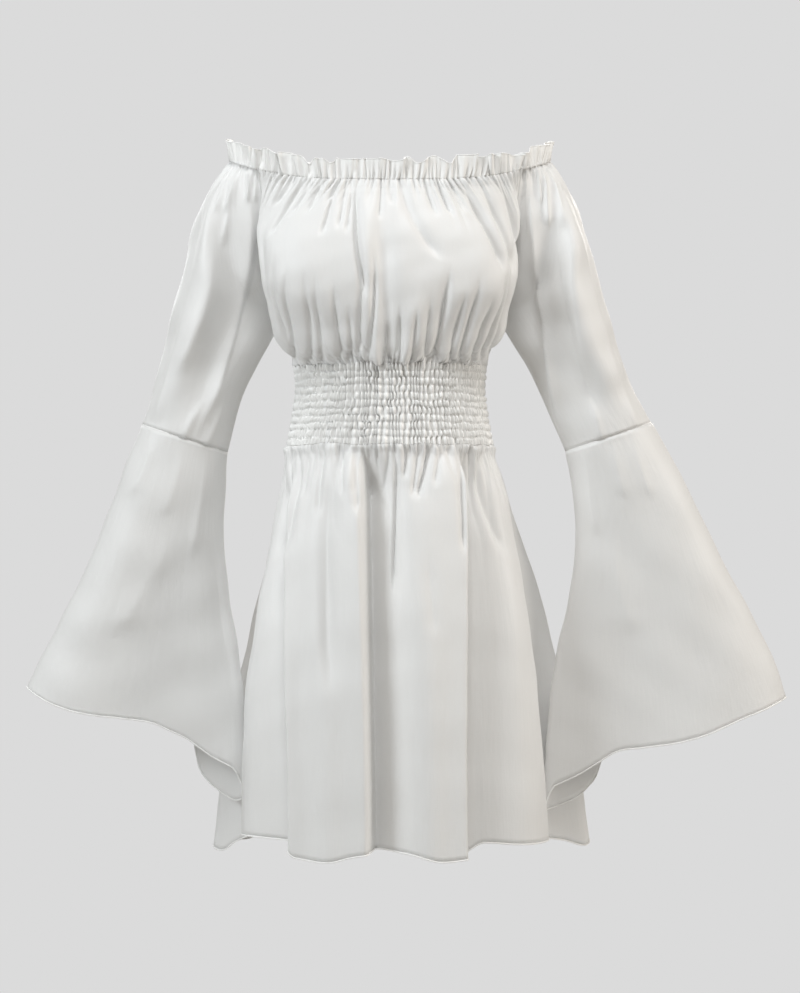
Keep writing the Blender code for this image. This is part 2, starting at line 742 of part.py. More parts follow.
def shirred_wall(name, front):
    """A shirred panel: puffs raised between the elastic rows, over a plain inside."""
    columns = SHIRRED_PUFFS * 2
    rows = SHIRRED_ROWS * 2
    last_in = WAIST_INNER_ROWS
    way = 1 if front else -1
    across = np.linspace(0, 1, columns + 1)[None, :]
    down = np.linspace(0, 1, rows + 1)[:, None]
    uneven = np.random.default_rng(columns + front).uniform(*PUFF_UNEVEN, (rows + 1, columns + 1))
    pleat = (np.arange(columns + 1) % 2)[None, :]
    puff = 0.25 + 0.75 * (np.arange(rows + 1) % 2)[:, None]
    outer = waist_line(down, across, front)
    height = uneven * pleat * puff * PUFF_HEIGHT * edge_fade(across, 0.03)
    outer = trimmed(outer + outward(outer) * way * height[..., None])
    inner_down = np.linspace(0, 1, last_in + 1)[:, None]
    inner = trimmed(waist_line(inner_down, across, front, inset=CLOTH_WALL))
    outside = np.arange((rows + 1) * (columns + 1)).reshape(rows + 1, columns + 1)
    inside = outside.size + np.arange((last_in + 1) * (columns + 1)).reshape(last_in + 1, columns + 1)
    faces = []
    for grid, last, turned in ((outside, rows, 1), (inside, last_in, -1)):
        for r in range(last):
            for c in range(columns):
                corners = [grid[r, c], grid[r + 1, c], grid[r + 1, c + 1], grid[r, c + 1]]
                faces.append(corners[::turned])
    for c in range(columns):
        faces.append([outside[0, c], outside[0, c + 1], inside[0, c + 1], inside[0, c]])
        faces.append([inside[-1, c], inside[-1, c + 1], outside[-1, c + 1], outside[-1, c]])
    faces.append([*outside[::-1, 0], *inside[:, 0]])
    faces.append([*outside[:, -1], *inside[::-1, -1]])
    mesh = bpy.data.meshes.new(name)
    everything = np.concatenate([outer.reshape(-1, 3), inner.reshape(-1, 3)]) * MM
    mesh.from_pydata(everything.tolist(), [], [[int(i) for i in face[::way]] for face in faces])
    new_piece(name, mesh)


def cleared_scene():
    for old in list(bpy.data.objects):
        bpy.data.objects.remove(old)
    dress = bpy.data.collections.new(COLLECTION)
    bpy.context.scene.collection.children.link(dress)


def build():
    cleared_scene()
    cloth_wall("neck_frill", sheet_mesh("neck_frill", frill_grid(), closed=True))
    for front, name, count, fold_rows in (
        (True, "bodice_front", BODICE_FRONT_GATHERS, BODICE_FRONT_FOLDS),
        (False, "bodice_back", BODICE_BACK_GATHERS, BODICE_BACK_FOLDS),
    ):
        grid = trimmed(bodice_grid(front, count, fold_rows))
        cloth_wall(name, sheet_mesh(name, grid, faces_out=front))
    shirred_wall("waist_front", True)
    shirred_wall("waist_back", False)
    for front, name, count, fold_rows in (
        (True, "skirt_front", SKIRT_FRONT_GATHERS, SKIRT_FRONT_FOLDS),
        (False, "skirt_back", SKIRT_BACK_GATHERS, SKIRT_BACK_FOLDS),
    ):
        grid = trimmed(skirt_grid(front, count, fold_rows), bottom=False)
        cloth_wall(name, sheet_mesh(name, grid, faces_out=front))
    for side, hand, sleeve, bell, hem in (
        (-1, "right", SLEEVE_RIGHT, BELL_RIGHT, BELL_HEM_RIGHT),
        (1, "left", SLEEVE_LEFT, BELL_LEFT, BELL_HEM_LEFT),
    ):
        mesh = sheet_mesh("sleeve_" + hand, sleeve_grid(side, sleeve), faces_out=side > 0)
        underarm_joined(mesh)
        cloth_wall("sleeve_" + hand, mesh)
        grid = bell_grid(side, bell, hem)
        mesh = sheet_mesh("bell_" + hand, grid, closed=True, faces_out=side < 0)
        cloth_wall("bell_" + hand, mesh)


build()
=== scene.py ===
"""The looks of an off-shoulder dress, worn and filled out.

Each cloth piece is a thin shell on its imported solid's form, with its gathers, folds, creases and
hems: the frill, bodice, shirred waist, skirt, sleeves and bells.
Metres and +Z up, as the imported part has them. The front faces -Y. Tables hold millimetres and degrees.
"""

import bmesh
import bpy
import numpy as np
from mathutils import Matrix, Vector


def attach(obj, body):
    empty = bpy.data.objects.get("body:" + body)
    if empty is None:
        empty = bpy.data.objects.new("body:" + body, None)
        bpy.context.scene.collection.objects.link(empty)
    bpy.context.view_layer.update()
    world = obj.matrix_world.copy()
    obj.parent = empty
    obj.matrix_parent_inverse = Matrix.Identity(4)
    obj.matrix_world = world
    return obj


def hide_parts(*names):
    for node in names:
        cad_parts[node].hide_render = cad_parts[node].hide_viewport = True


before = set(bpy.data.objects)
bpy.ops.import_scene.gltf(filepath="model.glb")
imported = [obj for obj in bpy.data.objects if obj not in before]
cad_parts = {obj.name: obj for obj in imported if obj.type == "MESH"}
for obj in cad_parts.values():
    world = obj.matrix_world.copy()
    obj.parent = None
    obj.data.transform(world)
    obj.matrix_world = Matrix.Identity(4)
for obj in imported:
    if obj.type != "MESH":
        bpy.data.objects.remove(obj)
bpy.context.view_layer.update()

MM = 0.001
CLOTH_THICK = 0.5
UNDERARM_REACH = 0.05

NECK_HALF_WIDTH = 206.0
NECK_FRONT = 100.0
NECK_BACK = 94.0
ALLOWANCE = 3.0
ALLOWANCE_BEHIND = 1.6
WAIST_TOP = -250.0
WAIST_BOTTOM = -352.0

# Where the dress is looked at from, square on, and where the view plane's sizes are true.
VIEW_ACROSS = 13.0
VIEW_AWAY = 2600.0
VIEW_HEIGHT = -418.0

# Which side and which face a piece is on.
HANDS = {-1: "right", 1: "left"}
FACES = {True: "front", False: "back"}

# Colours are linear. The cloth is a clean white, the backdrop a pale grey. A look is the cloth's
# colour, roughness and gloss. The frill and the waist are painted lighter than the cloth, a painted
# highlight that lifts the shade of their small pleats, and the rolled hem is painted lighter still, a
# painted highlight for the light its roll catches.
CLOTH_LOOK = ((0.80, 0.80, 0.795), 0.5, 0.4)
FRILL_PAINTED_LIGHT_LOOK = ((0.87, 0.87, 0.86), 0.5, 0.4)
SHIRRED_PAINTED_LIGHT_LOOK = ((0.87, 0.87, 0.86), 0.29, 0.62)
HEM_PAINTED_HIGHLIGHT_LOOK = ((0.95, 0.95, 0.94), 0.5, 0.4)
CLOTH_DIM = 0.975
SHEEN = 0.12
SHEEN_ROUGHNESS = 0.5
THREAD_COLOURS = ((0.74, 0.74, 0.73), (0.86, 0.86, 0.85))
THREAD_ROUGHNESS = 0.55
BACKDROP = (0.708, 0.708, 0.708)
ROOM_LIGHT = (1.0, 0.95, 0.86)
ROOM_STRENGTH = 0.29

# The weave's bands lie about 3 mm apart, and the grain is drawn out along the cloth. Then strength
# and depth of the grain, the crinkles and the weave. A mottle is how fine and how detailed it is.
WEAVE_SCALE = 100.0
GRAIN_SCALE = (110, 14, 1)
GRAIN_BUMP = (0.35, 1.6)
CRINKLE_BUMP = (0.2, 1.2)
WEAVE_BUMP = (0.15, 0.15)
TINT_MOTTLE = (9.0, 3.0)
GRAIN_MOTTLE = (1.0, 3.0)
CRINKLE_MOTTLE = (70.0, 2.0)
THREAD_MOTTLE = (400.0, 2.0)
WEAVE_UNEVEN = 0.6

# The studio, in metres, and the camera's lens and film width in millimetres. Each light has its
# name, its place, what it is aimed at, its size, its watts and its colour.
LIGHTS = (
    ("key", (-2.4, -1.7, 0.9), (0, 0, -0.35), 1.4, 48, (0.915, 0.965, 1.0)),
    ("fill", (3.0, -0.9, 0.6), (0, 0, -0.3), 1.3, 43, (1.0, 0.94, 0.87)),
    ("upper", (0.1, -1.4, 1.7), (0, 0, -0.1), 0.9, 26, (0.97, 0.985, 1.0)),
    ("back_key", (1.0, 3.0, 0.9), (0, 0, -0.35), 1.4, 32, (1.0, 0.97, 0.93)),
    ("back_fill", (-1.3, 2.8, 0.7), (0, 0, -0.35), 1.2, 14, (0.96, 0.98, 1.0)),
)
FLOOR_HEIGHT = -1.5
FLOOR_RADIUS = 1.5
LENS = 72.5
FILM_WIDTH = 36

# How fine each surface is, the front (True) more than the back (False). Two numbers of rows are the
# ones above and below the underarm.
BODICE_COLUMNS = {True: 320, False: 220}
SKIRT_COLUMNS = {True: 320, False: 240}
WAIST_COLUMNS = {True: 460, False: 350}
WAIST_ROWS_EACH = 6
SLEEVE_COLUMNS = 160
BELL_COLUMNS = 170
FRILL_COLUMNS = 1200
BODICE_ROWS = (56, 28)
SKIRT_ROWS = 84
SLEEVE_ROWS = (42, 42)
BELL_ROWS = 72
FRILL_ROWS = 12
ROWS_CLOSER_AT_WAIST = 1.2

# The cloth's small forms. A rumple has a seed, a height and a size. The bodice hangs over the waist.
BODICE_RUMPLE = (3, 0.5, 48)
SKIRT_RUMPLE = (5, 0.6, 70)
SLEEVE_RUMPLE = (7, 0.8, 60)
BELL_RUMPLE = (9, 0.9, 80)
RIDGE_WIDTHS = (0.45, 1.55)
RIDGE_ROUND = 0.7
RIDGE_FOOT = 0.6
GATHER_HEIGHTS = (0.25, 1.0)
GATHER_DRIFT = 0.3
DRIFT_WAVES = 3
DRIFT_WAVE_LENGTH = (20, 60)
DRIFT_WAVE_TURNS = (6, 30)
WRINKLE_WAYS = 7
WRINKLE_SIZES = (0.6, 1.6)
SKIRT_SEAM_REACH = 0.12
SLEEVE_SEAM_REACH = 0.3
SEAM_HOLD = 5.0
SLEEVE_HEM_HOLD = 0.3
BELL_TOP_HOLD = 0.3
SIDE_CALM = 0.025
HANG = 1.6
HANG_UNEVEN = 3.4
HANG_GATHERS = 24
HANG_SEED = 23
HANG_LENGTH = (40, 60)
BLOUSE_LOW = 6.0
BLOUSE_ENDS = 3
BLOUSE_FADE = 1.2
MIDDLE_BEHIND = 16.0
HEM_PUCKERS = 46
HEM_PUCKER = 0.45
HEM_PUCKER_LENGTH = 16.0
HEM_PUCKER_TURN = 26.0
CREASE_SHARP = 1.3
CREASE_GROWS_OVER = 0.45
CREASE_FADES_OVER = 0.2
BODICE_CREASE = 1.5
SKIRT_CREASE = 1.4
SLEEVE_CREASE = 1.3

SHIRRED_ROWS = 10
WAIST_PLEATS = 70
WAIST_PLEAT_DRIFT = 0.5
WAIST_PINCHED = 5.2
WAIST_PUFF = 2.5
WAIST_SEAM_PUFF = 0.4
WAIST_GROOVE = 0.7
WAIST_GROOVE_WIDE = 0.12
WAIST_SHIFT_OVER = 0.2
WAIST_SEED = 41
PLEAT_SHIFTS = 44
PUFF_SEED = 47
PUFF_SIZES = (0.1, 1.0)
PUFF_ROUND = 0.6
ROW_SEED = 900
ROW_WAVERS = 26
WAIST_PUCKER_LENGTH = (8, 28)
PLEATS_MERGED = 0.12
PLEATS_MERGED_EVERY = 3.3
PLEAT_ROUND = 1.1
ROW_WAVER = 1.8
ROW_WAVER_REACH = 10.0

FRILL_HEIGHT = 27.0
FRILL_FLARE = 4.0
FRILL_PLEATS = 46
FRILL_PLEAT = 10.5
FRILL_FOLD_OVER = 5.0
FRILL_PLEAT_WIDTHS = (0.45, 1.7)
FRILL_SMALL_PLEATS = 112
FRILL_SMALL_PLEAT = 3.2
FRILL_SMALL_FOLD = 1.9
FRILL_STEP = 2.2
FRILL_STEP_WIDE = 0.06
FRILL_LEANS_BACK = 0.4
FRILL_PLEAT_FOOT = 0.4
FRILL_SEED = 71
PLEAT_CREST = 0.78
NECK_PUCKERS = 190
NECK_PUCKER = 8.0
NECK_PUCKER_HEIGHTS = (0.4, 1.0)
NECK_PUCKER_LENGTH = (8, 30)
NECK_SEED = 81

HEM_RADIUS = 1.0
HEM_SIDES = 6
FRILL_EDGE = 0.6
ELBOW_SEAM = 0.7
ELBOW_SEAM_OUT = 0.5
NECK_STITCH_OUT = 0.1
ELASTIC_OUT = 0.15
STITCH_SPACING = 3.0
STITCH_LENGTH = 2.0
THREAD_RADIUS = 0.25
NECK_STITCH_ROWS = (3, 6)


def table(columns, *rows):
    """A dictionary of named columns, one array for each."""
    return dict(zip(columns.split(), np.array(rows, float).T))


# The elastic line seen from above and from the front, turning from centre front to centre back.
NECK_LINE = table(
    "turn height",
    (0, -22), (20, -20), (35, -15), (54, -3), (72, 9), (90, 17), (110, 15), (126, 9), (150, 2),
    (180, -2),
)

# The raglan seams, from the elastic line down to the underarm point.
RAGLAN = table(
    "down across front back height_front height_back",
    (0, 166.7, -58.8, 55.3, -3, 9),
    (0.3, 161, -47, 50, -50, -44),
    (0.6, 151, -30, 41, -102, -99),
    (0.85, 142, -8, 26, -150, -149),
    (1, 138, 10, 10, -178, -178),
)

# The bodice side seams, from the underarm point down to the waist.
BODICE_SIDE = table(
    "down across along height",
    (0, 138, 10, -178),
    (0.5, 134, 5, -214),
    (1, 120, 0, -250),
)
UNDERARM_DOWN = 0.72

# Bodice and skirt sections: how wide and deep each is, and how far its panel wraps round.
BODICE_SECTION = "down half_width face middle wrap height"
BODICE_FRONT = table(
    BODICE_SECTION,
    (0, 168, -100, -50, 80, -22),
    (0.12, 169, -113, -48, 94, -50),
    (0.3, 170, -128, -46, 108, -100),
    (0.46, 169, -131, -44, 106, -142),
    (0.62, 163, -126, -40, 107, -180),
    (0.8, 153, -117, -32, 110, -216),
    (0.93, 137, -106, -14, 100, -241),
    (1, 120, -92, 0, 90, -250),
)

BODICE_BACK = table(
    BODICE_SECTION,
    (0, 168, 94, 46, 80, -2),
    (0.12, 168, 100, 44, 90, -36),
    (0.3, 164, 104, 40, 98, -88),
    (0.5, 152, 101, 30, 95, -142),
    (0.7, 144, 96, 18, 93, -194),
    (0.9, 132, 91, 6, 94, -235),
    (1, 120, 80, 0, 90, -250),
)

# Waist sections: the shirred band is narrowest just under its upper edge.
WAIST = table(
    "down half_width front back",
    (0, 120, 92, 80),
    (0.3, 118, 90, 78),
    (0.6, 122, 92, 81),
    (1, 129, 98, 88),
)

SKIRT_SECTION = "down half_right half_left face middle wrap"
SKIRT_FRONT = table(
    SKIRT_SECTION,
    (0, 129, 129, -98, 0, 90),
    (0.1, 141, 148, -110, -4, 95),
    (0.22, 153, 160, -122, -8, 100),
    (0.36, 165, 172, -132, -12, 105),
    (0.5, 176, 183, -140, -16, 110),
    (0.66, 186, 191, -146, -20, 114),
    (0.83, 189, 198, -150, -24, 117),
    (1, 190, 203, -152, -26, 118),
)

SKIRT_BACK = table(
    SKIRT_SECTION,
    (0, 129, 129, 88, 0, 90),
    (0.1, 139, 149, 101, 10, 97),
    (0.22, 153, 170, 114, 26, 106),
    (0.36, 167, 190, 126, 44, 115),
    (0.5, 182, 207, 136, 60, 122),
    (0.66, 203, 230, 144, 72, 127),
    (0.83, 217, 248, 150, 82, 131),
    (1, 229, 262, 154, 88, 134),
)

SKIRT_SIDE = table(
    "down right left along",
    (0, 129, 129, 0),
    (0.1, 139, 146, 3),
    (0.22, 151, 158, 8),
    (0.36, 160, 168, 15),
    (0.5, 166, 175, 22),
    (0.66, 170, 179, 30),
    (0.83, 171, 182, 35),
    (1, 171, 184, 38),
)

# Hem heights across each skirt panel, from the wearer's right side seam to the left one.
HEM_FRONT = table(
    "across height",
    (0, -860), (0.12, -852), (0.25, -845), (0.31, -846), (0.345, -864), (0.4, -867), (0.45, -858),
    (0.49, -854), (0.53, -857), (0.58, -866), (0.625, -862), (0.66, -848), (0.72, -852), (0.85, -858),
    (1, -866),
)
HEM_BACK = table(
    "across height",
    (0, -860), (0.06, -876), (0.11, -890), (0.17, -884), (0.3, -876), (0.5, -872), (0.7, -876),
    (0.83, -876), (0.89, -883), (0.94, -874), (1, -866),
)

# Sleeve sections seen from the front: the outer and inner points of each side, then the section's
# depth. Above the underarm it is open towards the body, and wrap says how far it goes round.
BOTH_SIDES = "down right_out right_out_up right_in right_in_up left_out left_out_up left_in left_in_up"
SLEEVE = table(
    BOTH_SIDES + " middle depth wrap taper",
    (0, 206, 17, 167, 3, 206, 17, 167, 3, 0, 58, 100, 0),
    (0.13, 228, -10, 161, -46, 228, -14, 161, -46, 2, 62, 115, 0.2),
    (0.27, 249, -48, 152, -100, 247, -54, 152, -100, 6, 70, 130, 0.5),
    (0.4, 262, -98, 143, -148, 260, -100, 143, -148, 9, 80, 150, 0.76),
    (0.5, 274, -142, 138.3, -178, 272, -147, 138.3, -178, 10, 86, 180, 0.88),
    (0.6, 285, -182, 154, -212, 284, -187, 155, -210, 12, 80, 180, 0.72),
    (0.72, 293, -221, 173, -246, 296, -226, 178, -246, 14, 66, 180, 0.35),
    (0.86, 307, -272, 194, -290, 316, -277, 202, -296, 15, 54, 180, 0.1),
    (1, 324, -324, 212.5, -360, 341, -321, 229.5, -359, 16, 50, 180, 0),
)
SLEEVE_UNDERARM_DOWN = 0.5

# Bell cuff sections: the outer and inner points seen from the front, and the depths of the two walls.
BELL = table(
    BOTH_SIDES + " middle front back taper",
    (0, 324, -324, 212.5, -360, 341, -321, 229.5, -359, 16, 50, 50, 0),
    (0.15, 348, -384, 215.5, -415, 377, -382, 240, -418, 16, 49, 50, 0.1),
    (0.32, 375, -455, 217, -480, 409, -447, 243, -480, 17, 49, 52, 0.2),
    (0.5, 405, -528, 210, -548, 440, -508, 235, -545, 18, 50, 54, 0.35),
    (0.68, 436, -587, 198, -625, 470, -566, 217, -625, 19, 52, 56, 0.5),
    (0.84, 457, -629, 189, -710, 500, -625, 205, -725, 20, 54, 58, 0.6),
    (1, 475, -667, 186, -810, 518, -680, 199, -830, 20, 56, 60, 0.6),
)

# How far the bell hems lie above the straight line between the outer and inner points.
BELL_HEM_RIGHT = table(
    "across front back",
    (0, 0, 0), (0.09, -1, 6), (0.2, 3, 16), (0.32, 13, 28), (0.45, 27, 42), (0.61, 40, 54),
    (0.72, 40, 48), (0.78, 36, -3), (0.85, 31, -14), (0.93, 29, -17), (1, 0, 0),
)
BELL_HEM_LEFT = table(
    "across front back",
    (0, 0, 0), (0.1, 2, 8), (0.2, 5, 16), (0.32, 6, 22), (0.43, 11, 30), (0.6, 27, 42), (0.71, 37, 46),
    (0.78, 33, 4), (0.87, 28, -6), (0.95, 27, -4), (1, 0, 0),
)

# A bell's folds are calmer towards its inner point, which hangs beside the skirt.
BELL_INNER_CALM = 0.75

# Folds: where each runs at the top and bottom of its panel, how wide it is on its left and right
# in shares of the panel, how far down it starts and ends, and its height. A height below 0 is a trough.
FOLD_GROWS_OVER = 0.35
FOLD_FADES_OVER = 0.25
FOLD_COLUMNS = "top bottom left right start end height"
SKIRT_FRONT_FOLDS = table(
    FOLD_COLUMNS,
    (0.06, 0.22, 0.04, 0.04, 0.1, 2, 7),
    (0.28, 0.4, 0.045, 0.04, 0.15, 2, 6),
    (0.58, 0.56, 0.045, 0.045, 0.1, 2, 8),
    (0.87, 0.745, 0.045, 0.045, 0.1, 2, 9),
)
# Fold edges, where the cloth steps back behind a fold: how far the heights on its two sides run on
# in shares of the panel, how far down the edge starts, and the two heights beside it.
FOLD_PATH_BEND = 2.2
EDGE_GROWS_OVER = 0.11
EDGE_STEP = 0.0035
EDGE_SHARP = 1.6
SKIRT_FRONT_EDGES = table(
    "top bottom left right start left_height right_height",
    (0.133, 0.327, 0.06, 0.05, 0.06, -14, 9),
    (0.417, 0.47, 0.09, 0.062, 0, 15, -38),
    (0.729, 0.62, 0.08, 0.06, 0, 13, -31),
)
SKIRT_BACK_FOLDS = table(
    FOLD_COLUMNS,
    (0.16, 0.14, 0.045, 0.045, 0.08, 2, 10),
    (0.28, 0.27, 0.04, 0.04, 0.05, 2, -22),
    (0.4, 0.39, 0.055, 0.055, 0.05, 2, 14),
    (0.52, 0.52, 0.045, 0.045, 0.03, 2, -26),
    (0.63, 0.64, 0.055, 0.055, 0.05, 2, 15),
    (0.74, 0.76, 0.04, 0.04, 0.05, 2, -20),
    (0.86, 0.88, 0.045, 0.045, 0.08, 2, 9),
)
BODICE_FRONT_FOLDS = table(
    FOLD_COLUMNS,
    (0.16, 0.2, 0.028, 0.028, 0.02, 0.8, -5),
    (0.29, 0.27, 0.11, 0.11, 0.1, 0.78, 11),
    (0.36, 0.38, 0.02, 0.02, 0.6, 1.2, -5),
    (0.45, 0.47, 0.022, 0.022, 0.05, 1.2, 6),
    (0.48, 0.5, 0.02, 0.02, 0.05, 1.2, -7),
    (0.58, 0.54, 0.025, 0.025, 0.4, 1.2, 5),
    (0.66, 0.62, 0.02, 0.02, 0.55, 1.2, -5),
    (0.71, 0.73, 0.11, 0.11, 0.1, 0.78, 11),
    (0.84, 0.8, 0.028, 0.028, 0.02, 0.8, -6),
)
BODICE_BACK_FOLDS = table(
    FOLD_COLUMNS,
    (0.24, 0.27, 0.045, 0.045, 0.02, 0.9, 5),
    (0.38, 0.4, 0.035, 0.035, 0.05, 1.2, -6),
    (0.52, 0.51, 0.045, 0.045, 0.02, 1.2, 6),
    (0.66, 0.62, 0.035, 0.035, 0.1, 1.2, -6),
    (0.8, 0.76, 0.045, 0.045, 0.02, 0.9, 5),
)
# On a sleeve the folds go round from the front seam edge, over the outside, to the back one.
SLEEVE_FOLDS = table(
    FOLD_COLUMNS,
    (0.22, 0.2, 0.05, 0.05, 0.08, 1, 6),
    (0.33, 0.3, 0.04, 0.04, 0.04, 1, -7),
    (0.44, 0.4, 0.05, 0.05, 0.08, 1, 5),
    (0.56, 0.54, 0.04, 0.04, 0.05, 1, -6),
    (0.68, 0.7, 0.05, 0.05, 0.08, 1, 6),
    (0.8, 0.82, 0.04, 0.04, 0.05, 1, -6),
)
# On a bell cuff the folds go round from the outer point, over the front, inner point and back.
BELL_FOLDS = table(
    FOLD_COLUMNS,
    (0.17, 0.16, 0.06, 0.06, 0.1, 2, -4),
    (0.3, 0.31, 0.05, 0.05, 0.15, 2, 5),
    (0.62, 0.63, 0.045, 0.045, 0.1, 2, 9),
    (0.71, 0.72, 0.04, 0.04, 0.1, 2, -12),
    (0.8, 0.81, 0.045, 0.045, 0.1, 2, 10),
    (0.9, 0.9, 0.04, 0.04, 0.15, 2, -9),
)

# Gathers: whether they start at the panel's first row (1) or its last (0), how many there are and
# their seed, the shortest and longest, and their height.
GATHER_COLUMNS = "from_top count seed shortest longest height"
BODICE_GATHERS = table(
    GATHER_COLUMNS,
    (1, 48, 11, 20, 75, 4.4),
    (1, 23, 13, 40, 120, 4.6),
    (0, 52, 15, 14, 50, 3.6),
    (0, 24, 17, 40, 110, 5),
)
SKIRT_GATHERS = table(
    GATHER_COLUMNS,
    (1, 60, 31, 12, 50, 4.6),
    (1, 27, 33, 40, 120, 9),
    (1, 13, 35, 90, 230, 6),
)
SLEEVE_GATHERS = table(
    GATHER_COLUMNS,
    (1, 26, 51, 16, 60, 3.6),
    (1, 12, 53, 50, 150, 4.6),
    (0, 44, 55, 5, 24, 1.4),
)
BELL_GATHERS = table(GATHER_COLUMNS, (1, 44, 61, 6, 30, 1.4))

# Creases seen from the front: where each starts, what it passes half way and where it ends, how wide
# it is on each side, and its height. A height below 0 is a trough. Sizes are seen on the view plane.
CREASE_COLUMNS = "from_across from_height by_across to_across to_height left right height"
BODICE_FRONT_CREASES = table(
    CREASE_COLUMNS,
    (-120, 6, -134, -153, -40, 3, 5, -3.5),
    (-107, 4, -133, -159, -84, 3, 5, -4),
    (-99, 1, -113, -134, -55, 3, 4, -3),
    (-86, 4, -96, -108, -51, 3, 4, -3),
    (-69, 4, -78, -90, -82, 3, 4, -3.5),
    (-57, 4, -61, -68, -72, 3, 3, -3),
    (-48, 4, -52, -57, -79, 3, 3, -3),
    (-43, 9, -44, -31, -162, 3, 5, -6.5),
    (-35, -74, -38, -43, -260, 4, 6, -5),
    (-23, -84, -21, -31, -260, 6, 3, -7),
    (-12, 4, -12, -16, -58, 3, 4, -3),
    (3, 4, 3, 5, -39, 3, 3, -3),
    (12, 6, 29, 68, -113, 6, 9, -4),
    (42, 4, 51, 61, -53, 3, 3, -3.5),
    (57, 4, 68, 81, -53, 3, 3, -3.5),
    (73, 4, 84, 99, -51, 3, 4, -3),
    (81, 4, 122, 143, -129, 4, 6, -7),
    (107, 4, 143, 160, -131, 4, 5, -6),
    (133, 9, 165, 174, -142, 4, 5, -6),
    (150, 12, 177, 185, -113, 4, 4, -5),
    (78, -113, 70, 57, -260, 7, 3, -7),
    (96, -144, 88, 75, -260, 5, 3, -5),
    (114, -124, 104, 86, -260, 5, 3, -5.5),
    (130, -147, 120, 99, -260, 4, 3, -4.5),
    (148, -105, 142, 108, -260, 5, 3, -6),
    (159, -98, 152, 120, -260, 5, 3, -5),
    (173, -108, 165, 127, -260, 5, 3, -6),
    (13, -162, 14, 12, -260, 4, 3, -5),
    (35, -165, 32, 26, -260, 4, 3, -5),
    (53, -150, 49, 44, -260, 4, 4, -4),
    (-3, -186, -5, -8, -260, 4, 4, -4),
    (-127, -113, -133, -121, -260, 3, 6, -5),
    (-110, -121, -105, -105, -260, 3, 5, -4),
    (-95, -126, -94, -86, -260, 3, 5, -4),
    (-73, -129, -70, -62, -260, 3, 5, -4),
    (-56, -162, -52, -52, -260, 3, 5, -4),
    (-143, -98, -147, -130, -230, 3, 6, -4),
)
SKIRT_FRONT_CREASES = table(
    CREASE_COLUMNS,
    (-116, -339, -122, -134, -500, 4, 5, -5),
    (-101, -339, -107, -113, -422, 4, 4, -4),
    (-88, -339, -91, -94, -448, 4, 5, -4),
    (-74, -344, -82, -79, -656, 8, 10, -5),
    (-60, -339, -61, -58, -422, 4, 4, -4),
    (-49, -339, -44, -46, -422, 3, 4, -4),
    (-31, -339, -39, -39, -448, 5, 3, -6),
    (10, -339, 8, 4, -552, 3, 7, -6),
    (-5, -339, -3, -13, -412, 3, 4, -4),
    (23, -339, 21, 18, -396, 3, 4, -4),
    (38, -339, 34, 29, -422, 3, 4, -4),
    (52, -339, 46, 35, -422, 3, 4, -7),
    (68, -339, 62, 57, -407, 3, 4, -4),
    (86, -339, 90, 92, -500, 4, 3, -5),
    (101, -339, 104, 112, -448, 4, 5, -4),
    (116, -339, 127, 153, -500, 4, 6, -6),
    (130, -339, 143, 159, -422, 4, 5, -4),
    (-130, -358, -140, -151, -500, 4, 6, -4),
    (-81, -462, -77, -77, -682, 9, 12, -3),
    (49, -474, 52, 56, -604, 12, 10, -3),
)
SLEEVE_RIGHT_CREASES = table(
    CREASE_COLUMNS,
    (-185, 20, -191, -255, -344, 11, 14, -10),
    (-166, 12, -181, -229, -292, 8, 9, 6),
    (-211, 20, -216, -229, -52, 3, 4, -3),
    (-196, 22, -203, -218, -52, 4, 4, -3.5),
    (-205, 20, -209, -221, -98, 5, 6, -3),
    (-182, 22, -182, -187, -39, 3, 3, -3.5),
    (-174, 22, -173, -177, -39, 3, 3, -3),
    (-226, -72, -240, -276, -266, 10, 14, -5),
    (-263, -162, -283, -309, -332, 10, 10, -4),
    (-239, -287, -260, -278, -360, 6, 6, -3),
    (-218, -290, -229, -247, -365, 6, 6, -3),
)
SLEEVE_LEFT_CREASES = table(
    CREASE_COLUMNS,
    (179, 22, 196, 229, -358, 6, 7, -9),
    (198, 22, 202, 207, -72, 3, 4, -4.5),
    (207, 22, 216, 224, -72, 4, 5, -3.5),
    (187, 22, 192, 196, -39, 3, 3, -3),
    (216, 20, 237, 255, -292, 12, 14, -6),
    (229, -20, 265, 299, -292, 14, 14, -5),
    (273, -162, 296, 325, -344, 10, 10, -3),
    (260, -287, 270, 278, -358, 6, 6, -3),
    (216, -32, 229, 273, -318, 9, 9, 4),
)
BELL_RIGHT_CREASES = table(
    CREASE_COLUMNS,
    (-312, -329, -317, -341, -422, 8, 8, -2.5),
    (-270, -344, -278, -299, -448, 10, 10, -2.5),
    (-240, -358, -247, -260, -500, 8, 10, -3),
    (-273, -448, -312, -364, -604, 22, 26, -4),
    (-229, -474, -218, -200, -682, 10, 8, 4),
)
BELL_LEFT_CREASES = table(
    CREASE_COLUMNS,
    (291, -342, 296, 307, -422, 8, 8, -2.5),
    (317, -334, 325, 341, -422, 8, 8, -2.5),
    (255, -358, 260, 268, -474, 8, 10, -3),
    (289, -448, 296, 320, -604, 22, 22, -4),
    (242, -500, 229, 216, -708, 10, 10, 4),
)

# The frill's height above the elastic across the front, which its folded edge makes uneven.
FRILL_FRONT = table(
    "across height",
    (-207, 28), (-192, 27), (-182, 25), (-156, 28), (-139, 23), (-129, 28), (-109, 27), (-101, 17),
    (-96, 23), (-83, 23), (-73, 18), (-64, 25), (-36, 25), (-12, 25), (9, 21), (23, 27), (33, 18),
    (55, 31), (72, 21), (83, 28), (98, 27), (120, 27), (140, 26), (151, 23), (173, 20), (182, 27),
    (205, 26),
)


